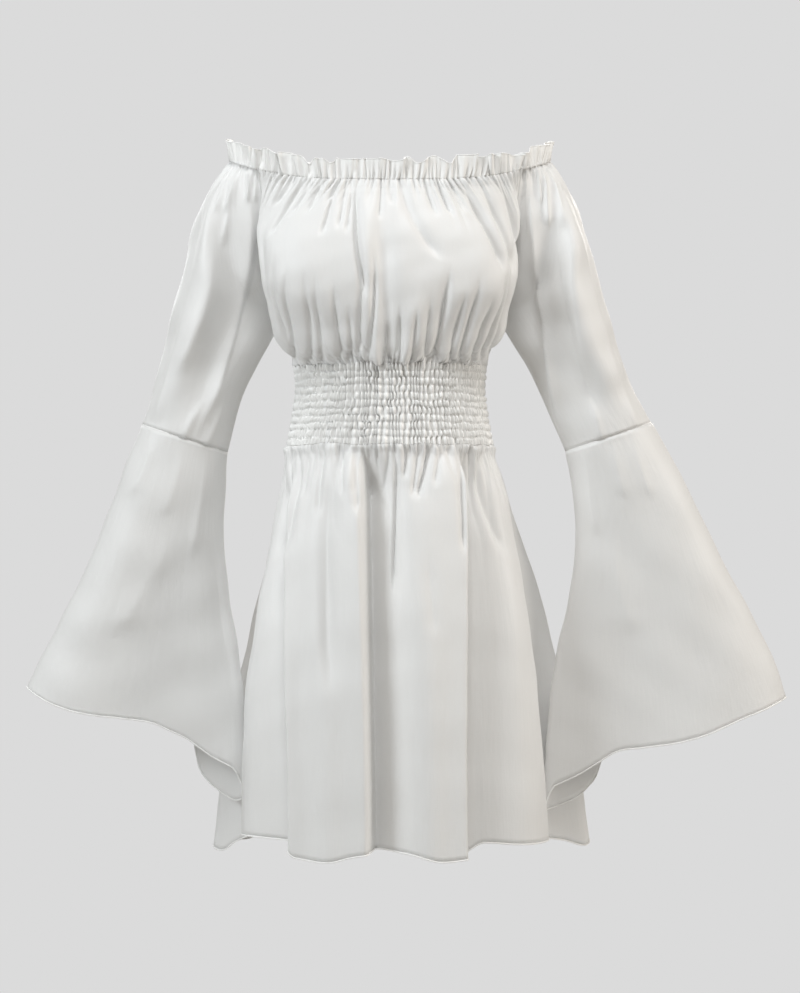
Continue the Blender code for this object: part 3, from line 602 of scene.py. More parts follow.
def smooth_curve(xs, ys, at):
    """Values of a smooth curve through the points, which never swings past them."""
    at = np.asarray(at, float)
    step = np.diff(xs)
    slope = np.diff(ys) / step
    product = slope[:-1] * slope[1:]
    total = slope[:-1] + slope[1:]
    inner = np.where(product > 0, 2 * product / np.where(total == 0, 1, total), 0)
    tangent = np.concatenate([slope[:1], inner, slope[-1:]])
    i = np.clip(np.searchsorted(xs, at, side="right") - 1, 0, len(xs) - 2)
    t = np.clip((at - xs[i]) / step[i], 0, 1)
    start = (2 * t**3 - 3 * t**2 + 1) * ys[i] + (t**3 - 2 * t**2 + t) * step[i] * tangent[i]
    end = (3 * t**2 - 2 * t**3) * ys[i + 1] + (t**3 - t**2) * step[i] * tangent[i + 1]
    return start + end


def read(rows, column, at):
    """A named column of a table, read between its rows."""
    first = next(iter(rows))
    return smooth_curve(rows[first], rows[column], at)


def eased(t):
    t = np.clip(t, 0, 1)
    return t * t * (3 - 2 * t)


def points(x, y, z):
    return np.stack(np.broadcast_arrays(x, y, z), axis=-1)


def neck_line(turn):
    """Points on the elastic line. turn is in radians from centre front, positive to the wearer's left."""
    deep = np.where(np.cos(turn) > 0, NECK_FRONT, NECK_BACK)
    height = read(NECK_LINE, "height", np.degrees(np.arccos(np.cos(turn))))
    return points(NECK_HALF_WIDTH * np.sin(turn), -deep * np.cos(turn), height)


def seam_turn():
    """How far round the neck line the raglan seams lie."""
    return np.arcsin(RAGLAN["across"][0] / NECK_HALF_WIDTH)


def facing(front):
    """The way that a front or back panel faces, along Y."""
    return -1 if front else 1


def waist_line(down, across, front):
    """Points on the waist. across runs from the wearer's right side seam, 0, to the left one, 1."""
    turn = (across - 0.5) * np.pi
    deep = read(WAIST, FACES[front], down)
    height = WAIST_TOP + (WAIST_BOTTOM - WAIST_TOP) * down
    wide = read(WAIST, "half_width", down)
    return points(wide * np.sin(turn), facing(front) * deep * np.cos(turn), height)


def arc(across, down, rows, side, half_right, half_left):
    """A panel's plain section: part of an oval that wraps round past its widest points."""
    wrap = np.radians(read(rows, "wrap", down))
    turn = (across * 2 - 1) * wrap
    half = np.where(turn < 0, half_right, half_left)
    middle = read(rows, "middle", down)
    deep = np.abs(read(rows, "face", down) - middle)
    return half * np.sin(turn), middle + side * deep * np.cos(turn)


def held_at_edges(grid, down, top, bottom, first, last, reach_down=0.3, reach_across=0.2):
    """The grid eased onto its four edge lines. Rows run down and columns run across."""
    down = down[..., None]
    across = np.linspace(0, 1, grid.shape[1])[None, :, None]
    grid = grid + (top - grid[0])[None] * eased(1 - down / reach_down)
    grid = grid + (bottom - grid[-1])[None] * eased(1 - (1 - down) / reach_down)
    to_first = first[:, None] - grid[:, :1]
    to_last = last[:, None] - grid[:, -1:]
    near_first = eased(1 - across / reach_across)
    return grid + to_first * near_first + to_last * near_first[:, ::-1]


def outward(grid, closed=False):
    """Unit normals of a grid whose columns run anticlockwise seen from above."""
    if closed:
        along = np.roll(grid, -1, axis=1) - np.roll(grid, 1, axis=1)
    else:
        along = np.gradient(grid, axis=1)
    normal = np.cross(np.gradient(grid, axis=0), along)
    return normal / np.maximum(np.linalg.norm(normal, axis=-1, keepdims=True), 1e-9)


def along_folds(column, down, *tables):
    """Where a panel's columns lie across it, so that each fold runs down one column."""
    tops, bottoms = (np.sort(np.concatenate([rows[end] for rows in tables])) for end in ("top", "bottom"))
    label = np.concatenate([[0], (tops + bottoms) / 2, [1]])
    top = smooth_curve(label, np.concatenate([[0], tops, [1]]), column)
    bottom = smooth_curve(label, np.concatenate([[0], bottoms, [1]]), column)
    return top + (bottom - top) * down


def folds(column, down, rows):
    """Heights of a panel's large folds, each with its own width on either side."""
    height = 0
    for top, bottom, left, right, start, end, high in zip(*rows.values()):
        aside = column - (top + bottom) / 2
        shape = np.exp(-((aside / np.where(aside < 0, left, right)) ** 2))
        grown = eased((down - start) / FOLD_GROWS_OVER) * eased((end - down) / FOLD_FADES_OVER)
        height = height + high * shape * grown
    return height


def stepped(column, down, rows):
    """Heights beside sharp fold edges, where the cloth steps back behind the fold."""
    height = 0
    for top, bottom, left, right, start, left_high, right_high in zip(*rows.values()):
        aside = column - (top + bottom) / 2
        past = 0.5 + 0.5 * np.tanh(aside / EDGE_STEP)
        before = left_high * np.exp(-(np.abs(aside / left) ** EDGE_SHARP))
        after = right_high * np.exp(-(np.abs(aside / right) ** EDGE_SHARP))
        height = height + (before * (1 - past) + after * past) * eased((down - start) / EDGE_GROWS_OVER)
    return height


def edge_fade(across, width=0.06):
    """0 at a panel's side seams and 1 away from them."""
    return eased(across / width) * eased((1 - across) / width)


def down_seam(rows, side, down, across="across", along="along", height="height"):
    """Points down a seam of one side, from the named columns of its table."""
    return points(side * read(rows, across, down), read(rows, along, down), read(rows, height, down))


def raglan_seam(side, down, front):
    """The raglan seam of one side, on the front or on the back, down to the underarm point."""
    return down_seam(RAGLAN, side, down, along=FACES[front], height="height_" + FACES[front])


def skirt_side_seam(side, down, hem):
    half = read(SKIRT_SIDE, HANDS[side], down)
    height = WAIST_BOTTOM + (hem - WAIST_BOTTOM) * down
    return points(side * half, read(SKIRT_SIDE, "along", down), height)


def split_rows(first_part, first_rows, other_rows):
    """Row places down a piece, with a row exactly where its first part ends."""
    above = np.linspace(0, first_part, first_rows + 1)
    below = np.linspace(first_part, 1, other_rows + 1)[1:]
    return np.concatenate([above, below])[:, None]


def bodice_side_edge(side, down, front):
    """The raglan seam down to the underarm, then the side seam down to the waist."""
    sleeve_part = raglan_seam(side, np.minimum(down / UNDERARM_DOWN, 1), front)
    side_part = down_seam(BODICE_SIDE, side, np.maximum(down - UNDERARM_DOWN, 0) / (1 - UNDERARM_DOWN))
    return np.where((down < UNDERARM_DOWN)[:, None], sleeve_part, side_part)


def outer_and_inner(side, section, down):
    """The two ends of each section of a sleeve or cuff, as seen from the front."""
    ends = [HANDS[side] + end for end in ("_out", "_in")]
    return [points(side * read(section, end, down), 0, read(section, end + "_up", down)) for end in ends]


def length_down(grid):
    """How far each point lies below the grid's first row, along the cloth."""
    steps = np.linalg.norm(np.diff(grid, axis=0), axis=-1)
    return np.concatenate([np.zeros((1, grid.shape[1])), np.cumsum(steps, axis=0)])


def drifting(below, seed, amount):
    """A slow sideways drift down the cloth, different from place to place across it."""
    draw = np.random.default_rng(seed)
    across = np.linspace(0, 1, below.shape[1])
    total = np.zeros(below.shape)
    for _ in range(DRIFT_WAVES):
        wave = below / draw.uniform(*DRIFT_WAVE_LENGTH) + across * draw.uniform(*DRIFT_WAVE_TURNS)
        total += np.sin(wave + draw.uniform(0, 6.3))
    return amount * total / DRIFT_WAVES


def uneven_phase(draw, place, count, widths):
    """Where each place lies among a number of ridges or pleats of uneven width."""
    starts = np.concatenate([[0], np.cumsum(draw.uniform(*widths, count))])
    return np.interp(place, starts / starts[-1], np.arange(count + 1))


def ridges(place, count, seed):
    """Rounded ridges with sharp valleys, uneven in width. Returns their shape, and where each one lies."""
    phase = uneven_phase(np.random.default_rng(seed), place, count, RIDGE_WIDTHS)
    return np.abs(np.sin(np.pi * phase)) ** RIDGE_ROUND - RIDGE_FOOT, phase


def each_ridge(phase, count, seed, low, high):
    """One random value for each ridge, which changes smoothly between them."""
    values = np.random.default_rng(seed + 100).uniform(low, high, count + 2)
    return np.interp(phase + 0.5, np.arange(count + 2), values)


def gathered(column, below, count, seed, length, height):
    """Ridges below a gathered seam, each with its own width, height and length."""
    across = np.broadcast_to(column, below.shape)
    across = across + drifting(below, seed, GATHER_DRIFT / count) * edge_fade(across, 0.05)
    shape, phase = ridges(across, count, seed)
    high = height * each_ridge(phase, count, seed, *GATHER_HEIGHTS)
    reach = each_ridge(phase, count, seed + 1, *length)
    return high * shape * eased(1 - below / reach)


def gathers(across, below, rows, step):
    """Heights of a table's gathers, each from the panel's first row down or from its last row up."""
    above = below[-1] - below
    total = 0
    for from_top, count, seed, short, long, high in zip(*rows.values()):
        away = below if from_top else above
        total = total + gathered(across, away, int(count), int(seed) + step, (short, long), high)
    return total


def neck_puckers(turn, away):
    """Small gathers that run through the neck elastic, from the cloth below it into the frill."""
    shape, phase = ridges((turn / (2 * np.pi)) % 1, NECK_PUCKERS, NECK_SEED)
    high = NECK_PUCKER * each_ridge(phase, NECK_PUCKERS, NECK_SEED + 1, *NECK_PUCKER_HEIGHTS)
    reach = each_ridge(phase, NECK_PUCKERS, NECK_SEED + 2, *NECK_PUCKER_LENGTH)
    return high * shape * eased(1 - away / reach)


def seen_from_front(grid):
    """Each point's place on the view plane, across and up."""
    scale = VIEW_AWAY / (VIEW_AWAY + grid[..., 1])
    across = VIEW_ACROSS + (grid[..., 0] - VIEW_ACROSS) * scale
    return across, VIEW_HEIGHT + (grid[..., 2] - VIEW_HEIGHT) * scale


def creased(grid, rows):
    """Heights of the creases in a table, which are placed as they are seen from the front."""
    across, up = seen_from_front(grid)
    height = np.zeros(across.shape)
    for from_x, from_z, by_x, to_x, to_z, left, right, high in zip(*rows.values()):
        along = np.clip((up - from_z) / (to_z - from_z), 0, 1)
        bend = by_x - (from_x + to_x) / 2
        aside = across - (from_x + (to_x - from_x) * along + 4 * bend * along * (1 - along))
        wide = np.where(aside < 0, left, right)
        fade = eased(along / CREASE_GROWS_OVER) * eased((1 - along) / CREASE_FADES_OVER)
        height += high * np.exp(-(np.abs(aside / wide) ** CREASE_SHARP)) * fade
    return height


def rumpled(grid, step, seed, height, size):
    """Soft low wrinkles that run in no one direction. step makes each panel's draws its own."""
    draw = np.random.default_rng(seed + step)
    total = np.zeros(grid.shape[:2])
    for _ in range(WRINKLE_WAYS):
        way = draw.normal(size=3)
        way = way / np.linalg.norm(way) * 2 * np.pi / (size * draw.uniform(*WRINKLE_SIZES))
        total += np.sin(grid @ way + draw.uniform(0, 2 * np.pi))
    return height * total / np.sqrt(WRINKLE_WAYS)


def lifted(grid, height, way, top=1, bottom=1, closed=False):
    """The grid with its cloth raised by height, held down to these shares of it at its sewn edges."""
    below = length_down(grid)
    hold = top + (1 - top) * eased(below / SEAM_HOLD)
    hold = hold * (bottom + (1 - bottom) * eased((below[-1] - below) / SEAM_HOLD))
    return grid + outward(grid, closed) * way * (height * hold)[..., None]


def puckered(grid, base, height, way):
    """The grid with a seam's puckers, raised level, so that the pieces sewn along one line still meet."""
    level = outward(base) * (1, 1, 0)
    level = level / np.maximum(np.linalg.norm(level, axis=-1, keepdims=True), 1e-9)
    return grid + level * way * height[..., None]


def with_allowance(grid, row, up, way):
    """The grid with a seam allowance past its first (0) or last (-1) row, tucked behind the next piece."""
    tucked = grid[row] - outward(grid)[row] * way * ALLOWANCE_BEHIND + (0, 0, up * ALLOWANCE)
    parts = [tucked[None], grid] if row == 0 else [grid, tucked[None]]
    return np.concatenate(parts)


def bodice_grid(front):
    """A bodice panel, from the neck elastic and the raglan seams down over the waist seam."""
    column = np.linspace(0, 1, BODICE_COLUMNS[front] + 1)[None, :]
    down = split_rows(UNDERARM_DOWN, *BODICE_ROWS)
    section = BODICE_FRONT if front else BODICE_BACK
    fold_rows = BODICE_FRONT_FOLDS if front else BODICE_BACK_FOLDS
    across = along_folds(column, down, fold_rows)
    side = facing(front)
    half = read(section, "half_width", down)
    x, y = arc(across, down, section, side, half, half)
    grid = points(x, y, read(section, "height", down) + 0 * across)
    turn = (across[0] * 2 - 1) * seam_turn()
    turn = turn if front else np.pi - turn
    bottom = waist_line(0.0, across[-1], front)
    edges = [bodice_side_edge(s, down[:, 0], front) for s in (-1, 1)]
    grid = held_at_edges(grid, down, neck_line(turn), bottom, *edges)
    below = length_down(grid)
    above = below[-1] - below
    height = folds(column, down, fold_rows) + gathers(column, below, BODICE_GATHERS, front)
    if front:
        height = height + creased(grid, BODICE_FRONT_CREASES) * BODICE_CREASE
    height = (height + rumpled(grid, front, *BODICE_RUMPLE)) * edge_fade(column, SIDE_CALM)
    small = neck_puckers(turn, below) + waist_seam_puckers(across[-1], 0, front, above)
    grid = puckered(lifted(grid, height, -side, top=0, bottom=0), grid, small, -side)
    grid[..., 2] += row_waver(across[-1], 0, front) * eased(1 - above / ROW_WAVER_REACH)
    uneven = gathered(column, 0 * above, HANG_GATHERS, HANG_SEED + front, HANG_LENGTH, 1.0)
    hang = HANG + HANG_UNEVEN * uneven
    low = np.minimum(above / BLOUSE_LOW, BLOUSE_ENDS)
    hang = hang * low * np.exp(1 - low) * eased((BLOUSE_ENDS - low) / BLOUSE_FADE)
    grid[..., 2] -= hang * edge_fade(column, 0.04)
    return grid


def skirt_grid(front):
    """A skirt panel, from the waist seam down to the hem."""
    column = np.linspace(0, 1, SKIRT_COLUMNS[front] + 1)[None, :]
    down = np.linspace(0, 1, SKIRT_ROWS + 1)[:, None] ** ROWS_CLOSER_AT_WAIST
    section = SKIRT_FRONT if front else SKIRT_BACK
    fold_rows = SKIRT_FRONT_FOLDS if front else SKIRT_BACK_FOLDS
    if front:
        across = along_folds(column, 1 - (1 - down) ** FOLD_PATH_BEND, fold_rows, SKIRT_FRONT_EDGES)
    else:
        across = along_folds(column, down, fold_rows)
    side = facing(front)
    halves = [read(section, name, down) for name in ("half_right", "half_left")]
    x, y = arc(across, down, section, side, *halves)
    hem = read(HEM_FRONT if front else HEM_BACK, "height", across)
    grid = points(x, y, WAIST_BOTTOM + (hem - WAIST_BOTTOM) * down)
    top = waist_line(1.0, across[0], front)
    edges = [skirt_side_seam(s, down[:, 0], hem[-1, end]) for s, end in ((-1, 0), (1, -1))]
    grid = held_at_edges(grid, down, top, grid[-1], *edges, reach_across=SKIRT_SEAM_REACH)
    below = length_down(grid)
    height = folds(column, down, fold_rows) + gathers(column, below, SKIRT_GATHERS, front)
    if front:
        height = height + stepped(column, down, SKIRT_FRONT_EDGES)
        height = height + creased(grid, SKIRT_FRONT_CREASES) * SKIRT_CREASE
    height = (height + rumpled(grid, front, *SKIRT_RUMPLE)) * edge_fade(column, SIDE_CALM)
    small = waist_seam_puckers(across[0], SHIRRED_ROWS, front, below)
    grid = puckered(lifted(grid, height, -side, top=0), grid, small, -side)
    grid[..., 2] += row_waver(across[0], SHIRRED_ROWS + 1, front) * eased(1 - below / ROW_WAVER_REACH)
    return grid


def wavering(seed, place, count):
    """A random value between -1 and 1 at each place, from a number of them across a panel."""
    draw = np.random.default_rng(seed)
    return np.interp(place, np.linspace(0, 1, count), draw.uniform(-1, 1, count))


def waist_pleats(place, line, front):
    """Small pleats across the shirred panel at one row of elastic thread, which none share exactly."""
    shift = wavering(WAIST_SEED + front + 10 * line, place, PLEAT_SHIFTS) * WAIST_PLEAT_DRIFT
    shifted = np.clip(place + shift / WAIST_PLEATS * edge_fade(place, 0.03), 0, 1)
    return ridges(shifted, WAIST_PLEATS, WAIST_SEED)[1]


def pleat_shape(phase):
    """Rounded pleats with narrow valleys. Some valleys are less deep."""
    merged = PLEATS_MERGED * (0.5 + 0.5 * np.sin(2 * np.pi * phase / PLEATS_MERGED_EVERY))
    return np.abs(np.sin(np.pi * phase)) ** PLEAT_ROUND * (1 - merged) + merged


def row_waver(place, line, front):
    """How far one shirred row lies above or below its level line, from place to place."""
    waver = wavering(ROW_SEED + 10 * line + front, place, ROW_WAVERS)
    return waver * ROW_WAVER * edge_fade(place, 0.04)


def calmer_at_sides(place):
    return (0.95 + 0.05 * np.sin(np.pi * np.clip(place, 0, 1))) * edge_fade(place, 0.015)


def waist_seam_puckers(place, line, front, away):
    """The shirred panel's pleats, running on into the cloth sewn to it at its first or last row."""
    phase = waist_pleats(place, line, front)
    reach = each_ridge(phase, WAIST_PLEATS, line + front, *WAIST_PUCKER_LENGTH)
    high = WAIST_PINCHED + WAIST_PUFF * WAIST_SEAM_PUFF
    return high * pleat_shape(phase) * eased(1 - away / reach) * calmer_at_sides(place)


def waist_grid(front):
    """A shirred panel: rows of elastic thread with small uneven puffs between them."""
    column = np.linspace(0, 1, WAIST_COLUMNS[front] + 1)[None, :]
    rows = SHIRRED_ROWS + 1
    place = np.linspace(0, rows, rows * WAIST_ROWS_EACH + 1)[:, None]
    grid = waist_line(place / rows, column, front)
    wavers = np.array([row_waver(column[0], line, front) for line in range(rows + 1)])
    phases = np.array([waist_pleats(column[0], line, front) for line in range(rows)])
    line = np.minimum(place[:, 0].astype(int), rows - 1)
    share = place - line[:, None]
    grid[..., 2] += wavers[line] * (1 - share) + wavers[line + 1] * share
    from_above = 0.5 * eased(1 - share / WAIST_SHIFT_OVER)
    from_below = 0.5 * eased(1 - (1 - share) / WAIST_SHIFT_OVER)
    above, below = phases[np.maximum(line - 1, 0)], phases[np.minimum(line + 1, rows - 1)]
    phase = phases[line] * (1 - from_above - from_below) + above * from_above + below * from_below
    knots = np.arange(WAIST_PLEATS + 1)
    puffs = np.random.default_rng(PUFF_SEED + front).uniform(*PUFF_SIZES, (rows, len(knots)))
    puff = np.array([np.interp(at, knots, puffs[which]) for at, which in zip(phase, line)])
    at_seam = eased(1 - place / 0.5) + eased(1 - (rows - place) / 0.5)
    swell = np.sin(np.pi * share) ** PUFF_ROUND
    puffed = puff * swell * (1 - at_seam) + WAIST_SEAM_PUFF * at_seam
    groove = np.exp(-((np.minimum(share, 1 - share) / WAIST_GROOVE_WIDE) ** 2))
    groove = groove * eased(place / 0.5) * eased((rows - place) / 0.5)
    height = pleat_shape(phase) * (WAIST_PINCHED + WAIST_PUFF * puffed) - WAIST_GROOVE * groove
    height = height * calmer_at_sides(column)
    return puckered(grid, grid, height, -facing(front))


def in_front(grid):
    """1 on the front wall of a sleeve or bell and 0 on its back one."""
    return eased((MIDDLE_BEHIND - grid[..., 1]) / 20)


def sleeve_grid(side, creases):
    """A raglan sleeve from the neck line to the elbow seam, open above the underarm."""
    across = np.linspace(0, 1, SLEEVE_COLUMNS + 1)[None, :]
    down = split_rows(SLEEVE_UNDERARM_DOWN, *SLEEVE_ROWS)
    is_open = down[:, 0] < SLEEVE_UNDERARM_DOWN
    wrap = np.where(is_open[:, None], np.radians(read(SLEEVE, "wrap", down)), np.pi)
    turn = (across * 2 - 1) * wrap
    out, inner = outer_and_inner(side, SLEEVE, down)
    half = (out - inner) / (1 - np.cos(wrap))[..., None]
    grid = out - half + half * np.cos(turn)[..., None]
    inward = (1 - np.cos(turn)) / 2
    depth = read(SLEEVE, "depth", down) * (1 - read(SLEEVE, "taper", down) * inward)
    grid[..., 1] = read(SLEEVE, "middle", down) + depth * np.sin(turn)
    turn = side * (seam_turn() + across[0] * (np.pi - 2 * seam_turn()))
    top = neck_line(turn)
    seam_down = np.minimum(down[:, 0] / SLEEVE_UNDERARM_DOWN, 1)
    edges = [
        np.where(is_open[:, None], raglan_seam(side, seam_down, front), grid[:, end])
        for front, end in ((True, 0), (False, -1))
    ]
    grid = held_at_edges(grid, down, top, grid[-1], *edges, reach_across=SLEEVE_SEAM_REACH)
    below = length_down(grid)
    height = folds(across, down, SLEEVE_FOLDS) + gathers(across, below, SLEEVE_GATHERS, side)
    height = height + creased(grid, creases) * in_front(grid) * SLEEVE_CREASE
    height = height + rumpled(grid, side, *SLEEVE_RUMPLE)
    height = height * edge_fade(across, 0.05)
    small = neck_puckers(turn, below) * eased(1 - down / SLEEVE_UNDERARM_DOWN)
    return puckered(lifted(grid, height, -side, top=0, bottom=SLEEVE_HEM_HOLD), grid, small, -side)


def bell_grid(side, hem, creases):
    """A bell cuff from the elbow seam to its hem, closed all round."""
    across = (np.arange(BELL_COLUMNS) / BELL_COLUMNS)[None, :]
    down = np.linspace(0, 1, BELL_ROWS + 1)[:, None]
    turn = across * 2 * np.pi
    inward = (1 - np.cos(turn)) / 2
    on_front = np.sin(turn) >= 0
    out, inner = outer_and_inner(side, BELL, down)
    grid = out + (inner - out) * inward[..., None]
    deep = np.where(on_front, read(BELL, "front", down), read(BELL, "back", down))
    narrowed = 1 - read(BELL, "taper", down) * inward
    grid[..., 1] = read(BELL, "middle", down) - deep * np.sin(turn) * narrowed
    lift = np.where(on_front, read(hem, "front", inward), read(hem, "back", inward))
    grid[..., 2] += lift * down**2
    below = length_down(grid)
    above = below[-1] - below
    height = folds(across, down, BELL_FOLDS) * (1 - BELL_INNER_CALM * inward)
    height = height + gathers(across, below, BELL_GATHERS, side) * edge_fade(across, 0.02)
    pucker = np.sin((across * HEM_PUCKERS + above / HEM_PUCKER_TURN) * 2 * np.pi)
    height = height + pucker * HEM_PUCKER * eased(1 - above / HEM_PUCKER_LENGTH)
    height = height + creased(grid, creases) * in_front(grid) + rumpled(grid, side, *BELL_RUMPLE)
    return lifted(grid, height, side, top=BELL_TOP_HOLD, closed=True)


def frill_pleats(place, count, seed):
    """Uneven pleats round the frill: how far each leans out and over sideways, and how tall it stands."""
    draw = np.random.default_rng(seed)
    phase = uneven_phase(draw, place, count, FRILL_PLEAT_WIDTHS)
    high, tall = draw.uniform(FRILL_PLEAT_FOOT, 1.0, count), draw.uniform(-1, 1, count)
    lean = np.where(draw.random(count) < FRILL_LEANS_BACK, -1, 1)
    which = np.minimum(phase.astype(int), count - 1)
    part = phase - which
    knots = np.arange(count + 1)
    inside = np.sort(np.concatenate([knots[:-1] + FRILL_STEP_WIDE, knots[1:] - FRILL_STEP_WIDE]))
    steps = np.interp(phase, inside, np.repeat(tall, 2))
    part = np.where(lean[which] < 0, 1 - part, part)
    crest = np.where(part < PLEAT_CREST, part / PLEAT_CREST, (1 - part) / (1 - PLEAT_CREST))
    crest = eased(crest) * high[which]
    return crest - FRILL_PLEAT_FOOT, crest * lean[which], steps


def frill_grid():
    """The gathered heading above the elastic, closed all round, anticlockwise seen from above."""
    place = np.arange(FRILL_COLUMNS) / FRILL_COLUMNS
    turn = (place * 2 * np.pi + np.pi) % (2 * np.pi) - np.pi
    up = np.linspace(0, 1, FRILL_ROWS + 1)[:, None]
    pleat, fold_over, step = frill_pleats(place, FRILL_PLEATS, FRILL_SEED)
    small_pleat, small_fold, _ = frill_pleats(place, FRILL_SMALL_PLEATS, FRILL_SEED + 1)
    out = points(np.sin(turn), -np.cos(turn), 0)
    along = points(np.cos(turn), np.sin(turn), 0)
    outwards = FRILL_FLARE * up + FRILL_PLEAT * pleat * up**0.6
    outwards = outwards + FRILL_SMALL_PLEAT * small_pleat * up**0.4 * (1 - 0.3 * up)
    outwards = outwards + neck_puckers(turn, FRILL_HEIGHT * up * 0.7)
    grid = neck_line(turn)[None] + out * outwards[..., None]
    folded = FRILL_FOLD_OVER * fold_over * up**0.7 + FRILL_SMALL_FOLD * small_fold * up**0.6
    grid = grid + along * folded[..., None]
    front = read(FRILL_FRONT, "height", NECK_HALF_WIDTH * np.sin(turn))
    tall = np.where(np.cos(turn) > 0, front, FRILL_HEIGHT)
    mix = eased((np.cos(turn) + 0.1) / 0.2)
    tall = tall * mix + FRILL_HEIGHT * (1 - mix) + FRILL_STEP * step
    grid[..., 2] += tall * up
    return grid[::-1]


def with_values(node, **values):
    """The node with its named inputs set. An underscore stands for a space."""
    for name, value in values.items():
        node.inputs[name.replace("_", " ")].default_value = value
    return node


def added(tree, kind, **values):
    return with_values(tree.nodes.new(kind), **values)


def joined(tree, *links):
    """Joins an output of one node to an input of the next, for each link."""
    for source, output, target, given in links:
        tree.links.new(source.outputs[output], target.inputs[given])


def new_material(name, **values):
    made = bpy.data.materials.new(name)
    made.use_nodes = True
    return made, made.node_tree, with_values(made.node_tree.nodes["Principled BSDF"], **values)


def noise(tree, place, output, scale, detail):
    made = added(tree, "ShaderNodeTexNoise", Scale=scale, Detail=detail)
    joined(tree, (place, output, made, "Vector"))
    return made


def tinted(tree, shader, uneven, dark, light):
    """Gives the shader a colour that varies a little between two."""
    tint = tree.nodes.new("ShaderNodeMix")
    tint.data_type = "RGBA"
    with_values(tint, A=(*dark, 1), B=(*light, 1))
    joined(tree, (uneven, "Fac", tint, "Factor"), (tint, "Result", shader, "Base Color"))


def cloth_material(name, colour, roughness, gloss):
    """White cloth: a soft sheen, slightly uneven colour and a fine plain weave."""
    made, tree, shader = new_material(
        name + "_cloth", Roughness=roughness, Metallic=0.0, Specular_IOR_Level=gloss,
        Sheen_Weight=SHEEN, Sheen_Roughness=SHEEN_ROUGHNESS,
    )
    place = added(tree, "ShaderNodeTexCoord")
    dim = [value * CLOTH_DIM for value in colour]
    tinted(tree, shader, noise(tree, place, "Object", *TINT_MOTTLE), dim, colour)
    weave = tree.nodes.new("ShaderNodeMath")
    weave.operation = "MULTIPLY"
    for i, direction in enumerate(("X", "Y")):
        thread = added(tree, "ShaderNodeTexWave", Scale=WEAVE_SCALE, Distortion=WEAVE_UNEVEN)
        thread.bands_direction = direction
        joined(tree, (place, "UV", thread, "Vector"), (thread, "Fac", weave, i))
    stretched = added(tree, "ShaderNodeMapping", Scale=GRAIN_SCALE)
    joined(tree, (place, "UV", stretched, "Vector"))
    under = None
    for source, output, strength, distance in (
        (noise(tree, stretched, "Vector", *GRAIN_MOTTLE), "Fac", *GRAIN_BUMP),
        (noise(tree, place, "Object", *CRINKLE_MOTTLE), "Fac", *CRINKLE_BUMP),
        (weave, "Value", *WEAVE_BUMP),
    ):
        bump = added(tree, "ShaderNodeBump", Strength=strength, Distance=distance * MM)
        joined(tree, (source, output, bump, "Height"))
        if under:
            joined(tree, (under, "Normal", bump, "Normal"))
        under = bump
    joined(tree, (under, "Normal", shader, "Normal"))
    return made


def thread_material():
    made, tree, shader = new_material("white_sewing_thread", Roughness=THREAD_ROUGHNESS)
    place = added(tree, "ShaderNodeTexCoord")
    tinted(tree, shader, noise(tree, place, "Object", *THREAD_MOTTLE), *THREAD_COLOURS)
    return made


def linked(piece):
    bpy.context.scene.collection.objects.link(piece)
    return piece


def cloth_mesh(name, grid, closed=False, faces_out=True):
    """An open cloth surface from a grid of points, with its size in metres as its UV map."""
    rows, columns = grid.shape[:2]
    row, column = np.mgrid[: rows - 1, : columns if closed else columns - 1]
    corner = np.array([(0, 0), (1, 0), (1, 1), (0, 1)])[:: 1 if faces_out else -1]
    row = (row[..., None] + corner[:, 0]).reshape(-1, 4)
    column = (column[..., None] + corner[:, 1]).reshape(-1, 4)
    mesh = bpy.data.meshes.new(name)
    mesh.from_pydata((grid.reshape(-1, 3) * MM).tolist(), [], (row * columns + column % columns).tolist())
    down = length_down(grid).mean(axis=1)
    round_it = np.concatenate([grid, grid[:, :1]], axis=1) if closed else grid
    across = length_down(round_it.transpose(1, 0, 2)).mean(axis=1)
    layer = mesh.uv_layers.new(name="cloth")
    layer.uv.foreach_set("vector", (np.stack([across[column], down[row]], -1) * MM).ravel())
    mesh.shade_smooth()
    return mesh


def underarm_joined(mesh):
    """Welds the edges that a sleeve's underarm seam brings together."""
    work = bmesh.new()
    work.from_mesh(mesh)
    bmesh.ops.remove_doubles(work, verts=work.verts, dist=UNDERARM_REACH * MM)
    work.to_mesh(mesh)
    work.free()


def cloth_piece(node, mesh, look=CLOTH_LOOK):
    """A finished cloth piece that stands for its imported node."""
    piece = linked(bpy.data.objects.new(node + "_cloth", mesh))
    mesh.materials.append(cloth_material(node, *look))
    wall = piece.modifiers.new("cloth thickness", "SOLIDIFY")
    wall.thickness = CLOTH_THICK * MM
    wall.offset = -1
    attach(piece, "root")
    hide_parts(node)
    return piece


def node_group(name, sizes):
    """An empty geometry tree with named sizes and a material as its inputs."""
    tree = bpy.data.node_groups.new(name, "GeometryNodeTree")
    tree.interface.new_socket("Line", in_out="INPUT", socket_type="NodeSocketGeometry")
    for label, value in sizes.items():
        socket = tree.interface.new_socket(label, in_out="INPUT", socket_type="NodeSocketFloat")
        socket.default_value = value
    tree.interface.new_socket("Material", in_out="INPUT", socket_type="NodeSocketMaterial")
    tree.interface.new_socket("Made", in_out="OUTPUT", socket_type="NodeSocketGeometry")
    return tree, added(tree, "NodeGroupInput")


def dressed(tree, given, source, output):
    """Ends a geometry tree: what it made becomes a plain mesh with the given material."""
    whole, coat = added(tree, "GeometryNodeRealizeInstances"), added(tree, "GeometryNodeSetMaterial")
    made = added(tree, "NodeGroupOutput")
    joined(
        tree,
        (source, output, whole, "Geometry"),
        (whole, "Geometry", coat, "Geometry"),
        (given, "Material", coat, "Material"),
        (coat, "Geometry", made, "Made"),
    )
    return tree


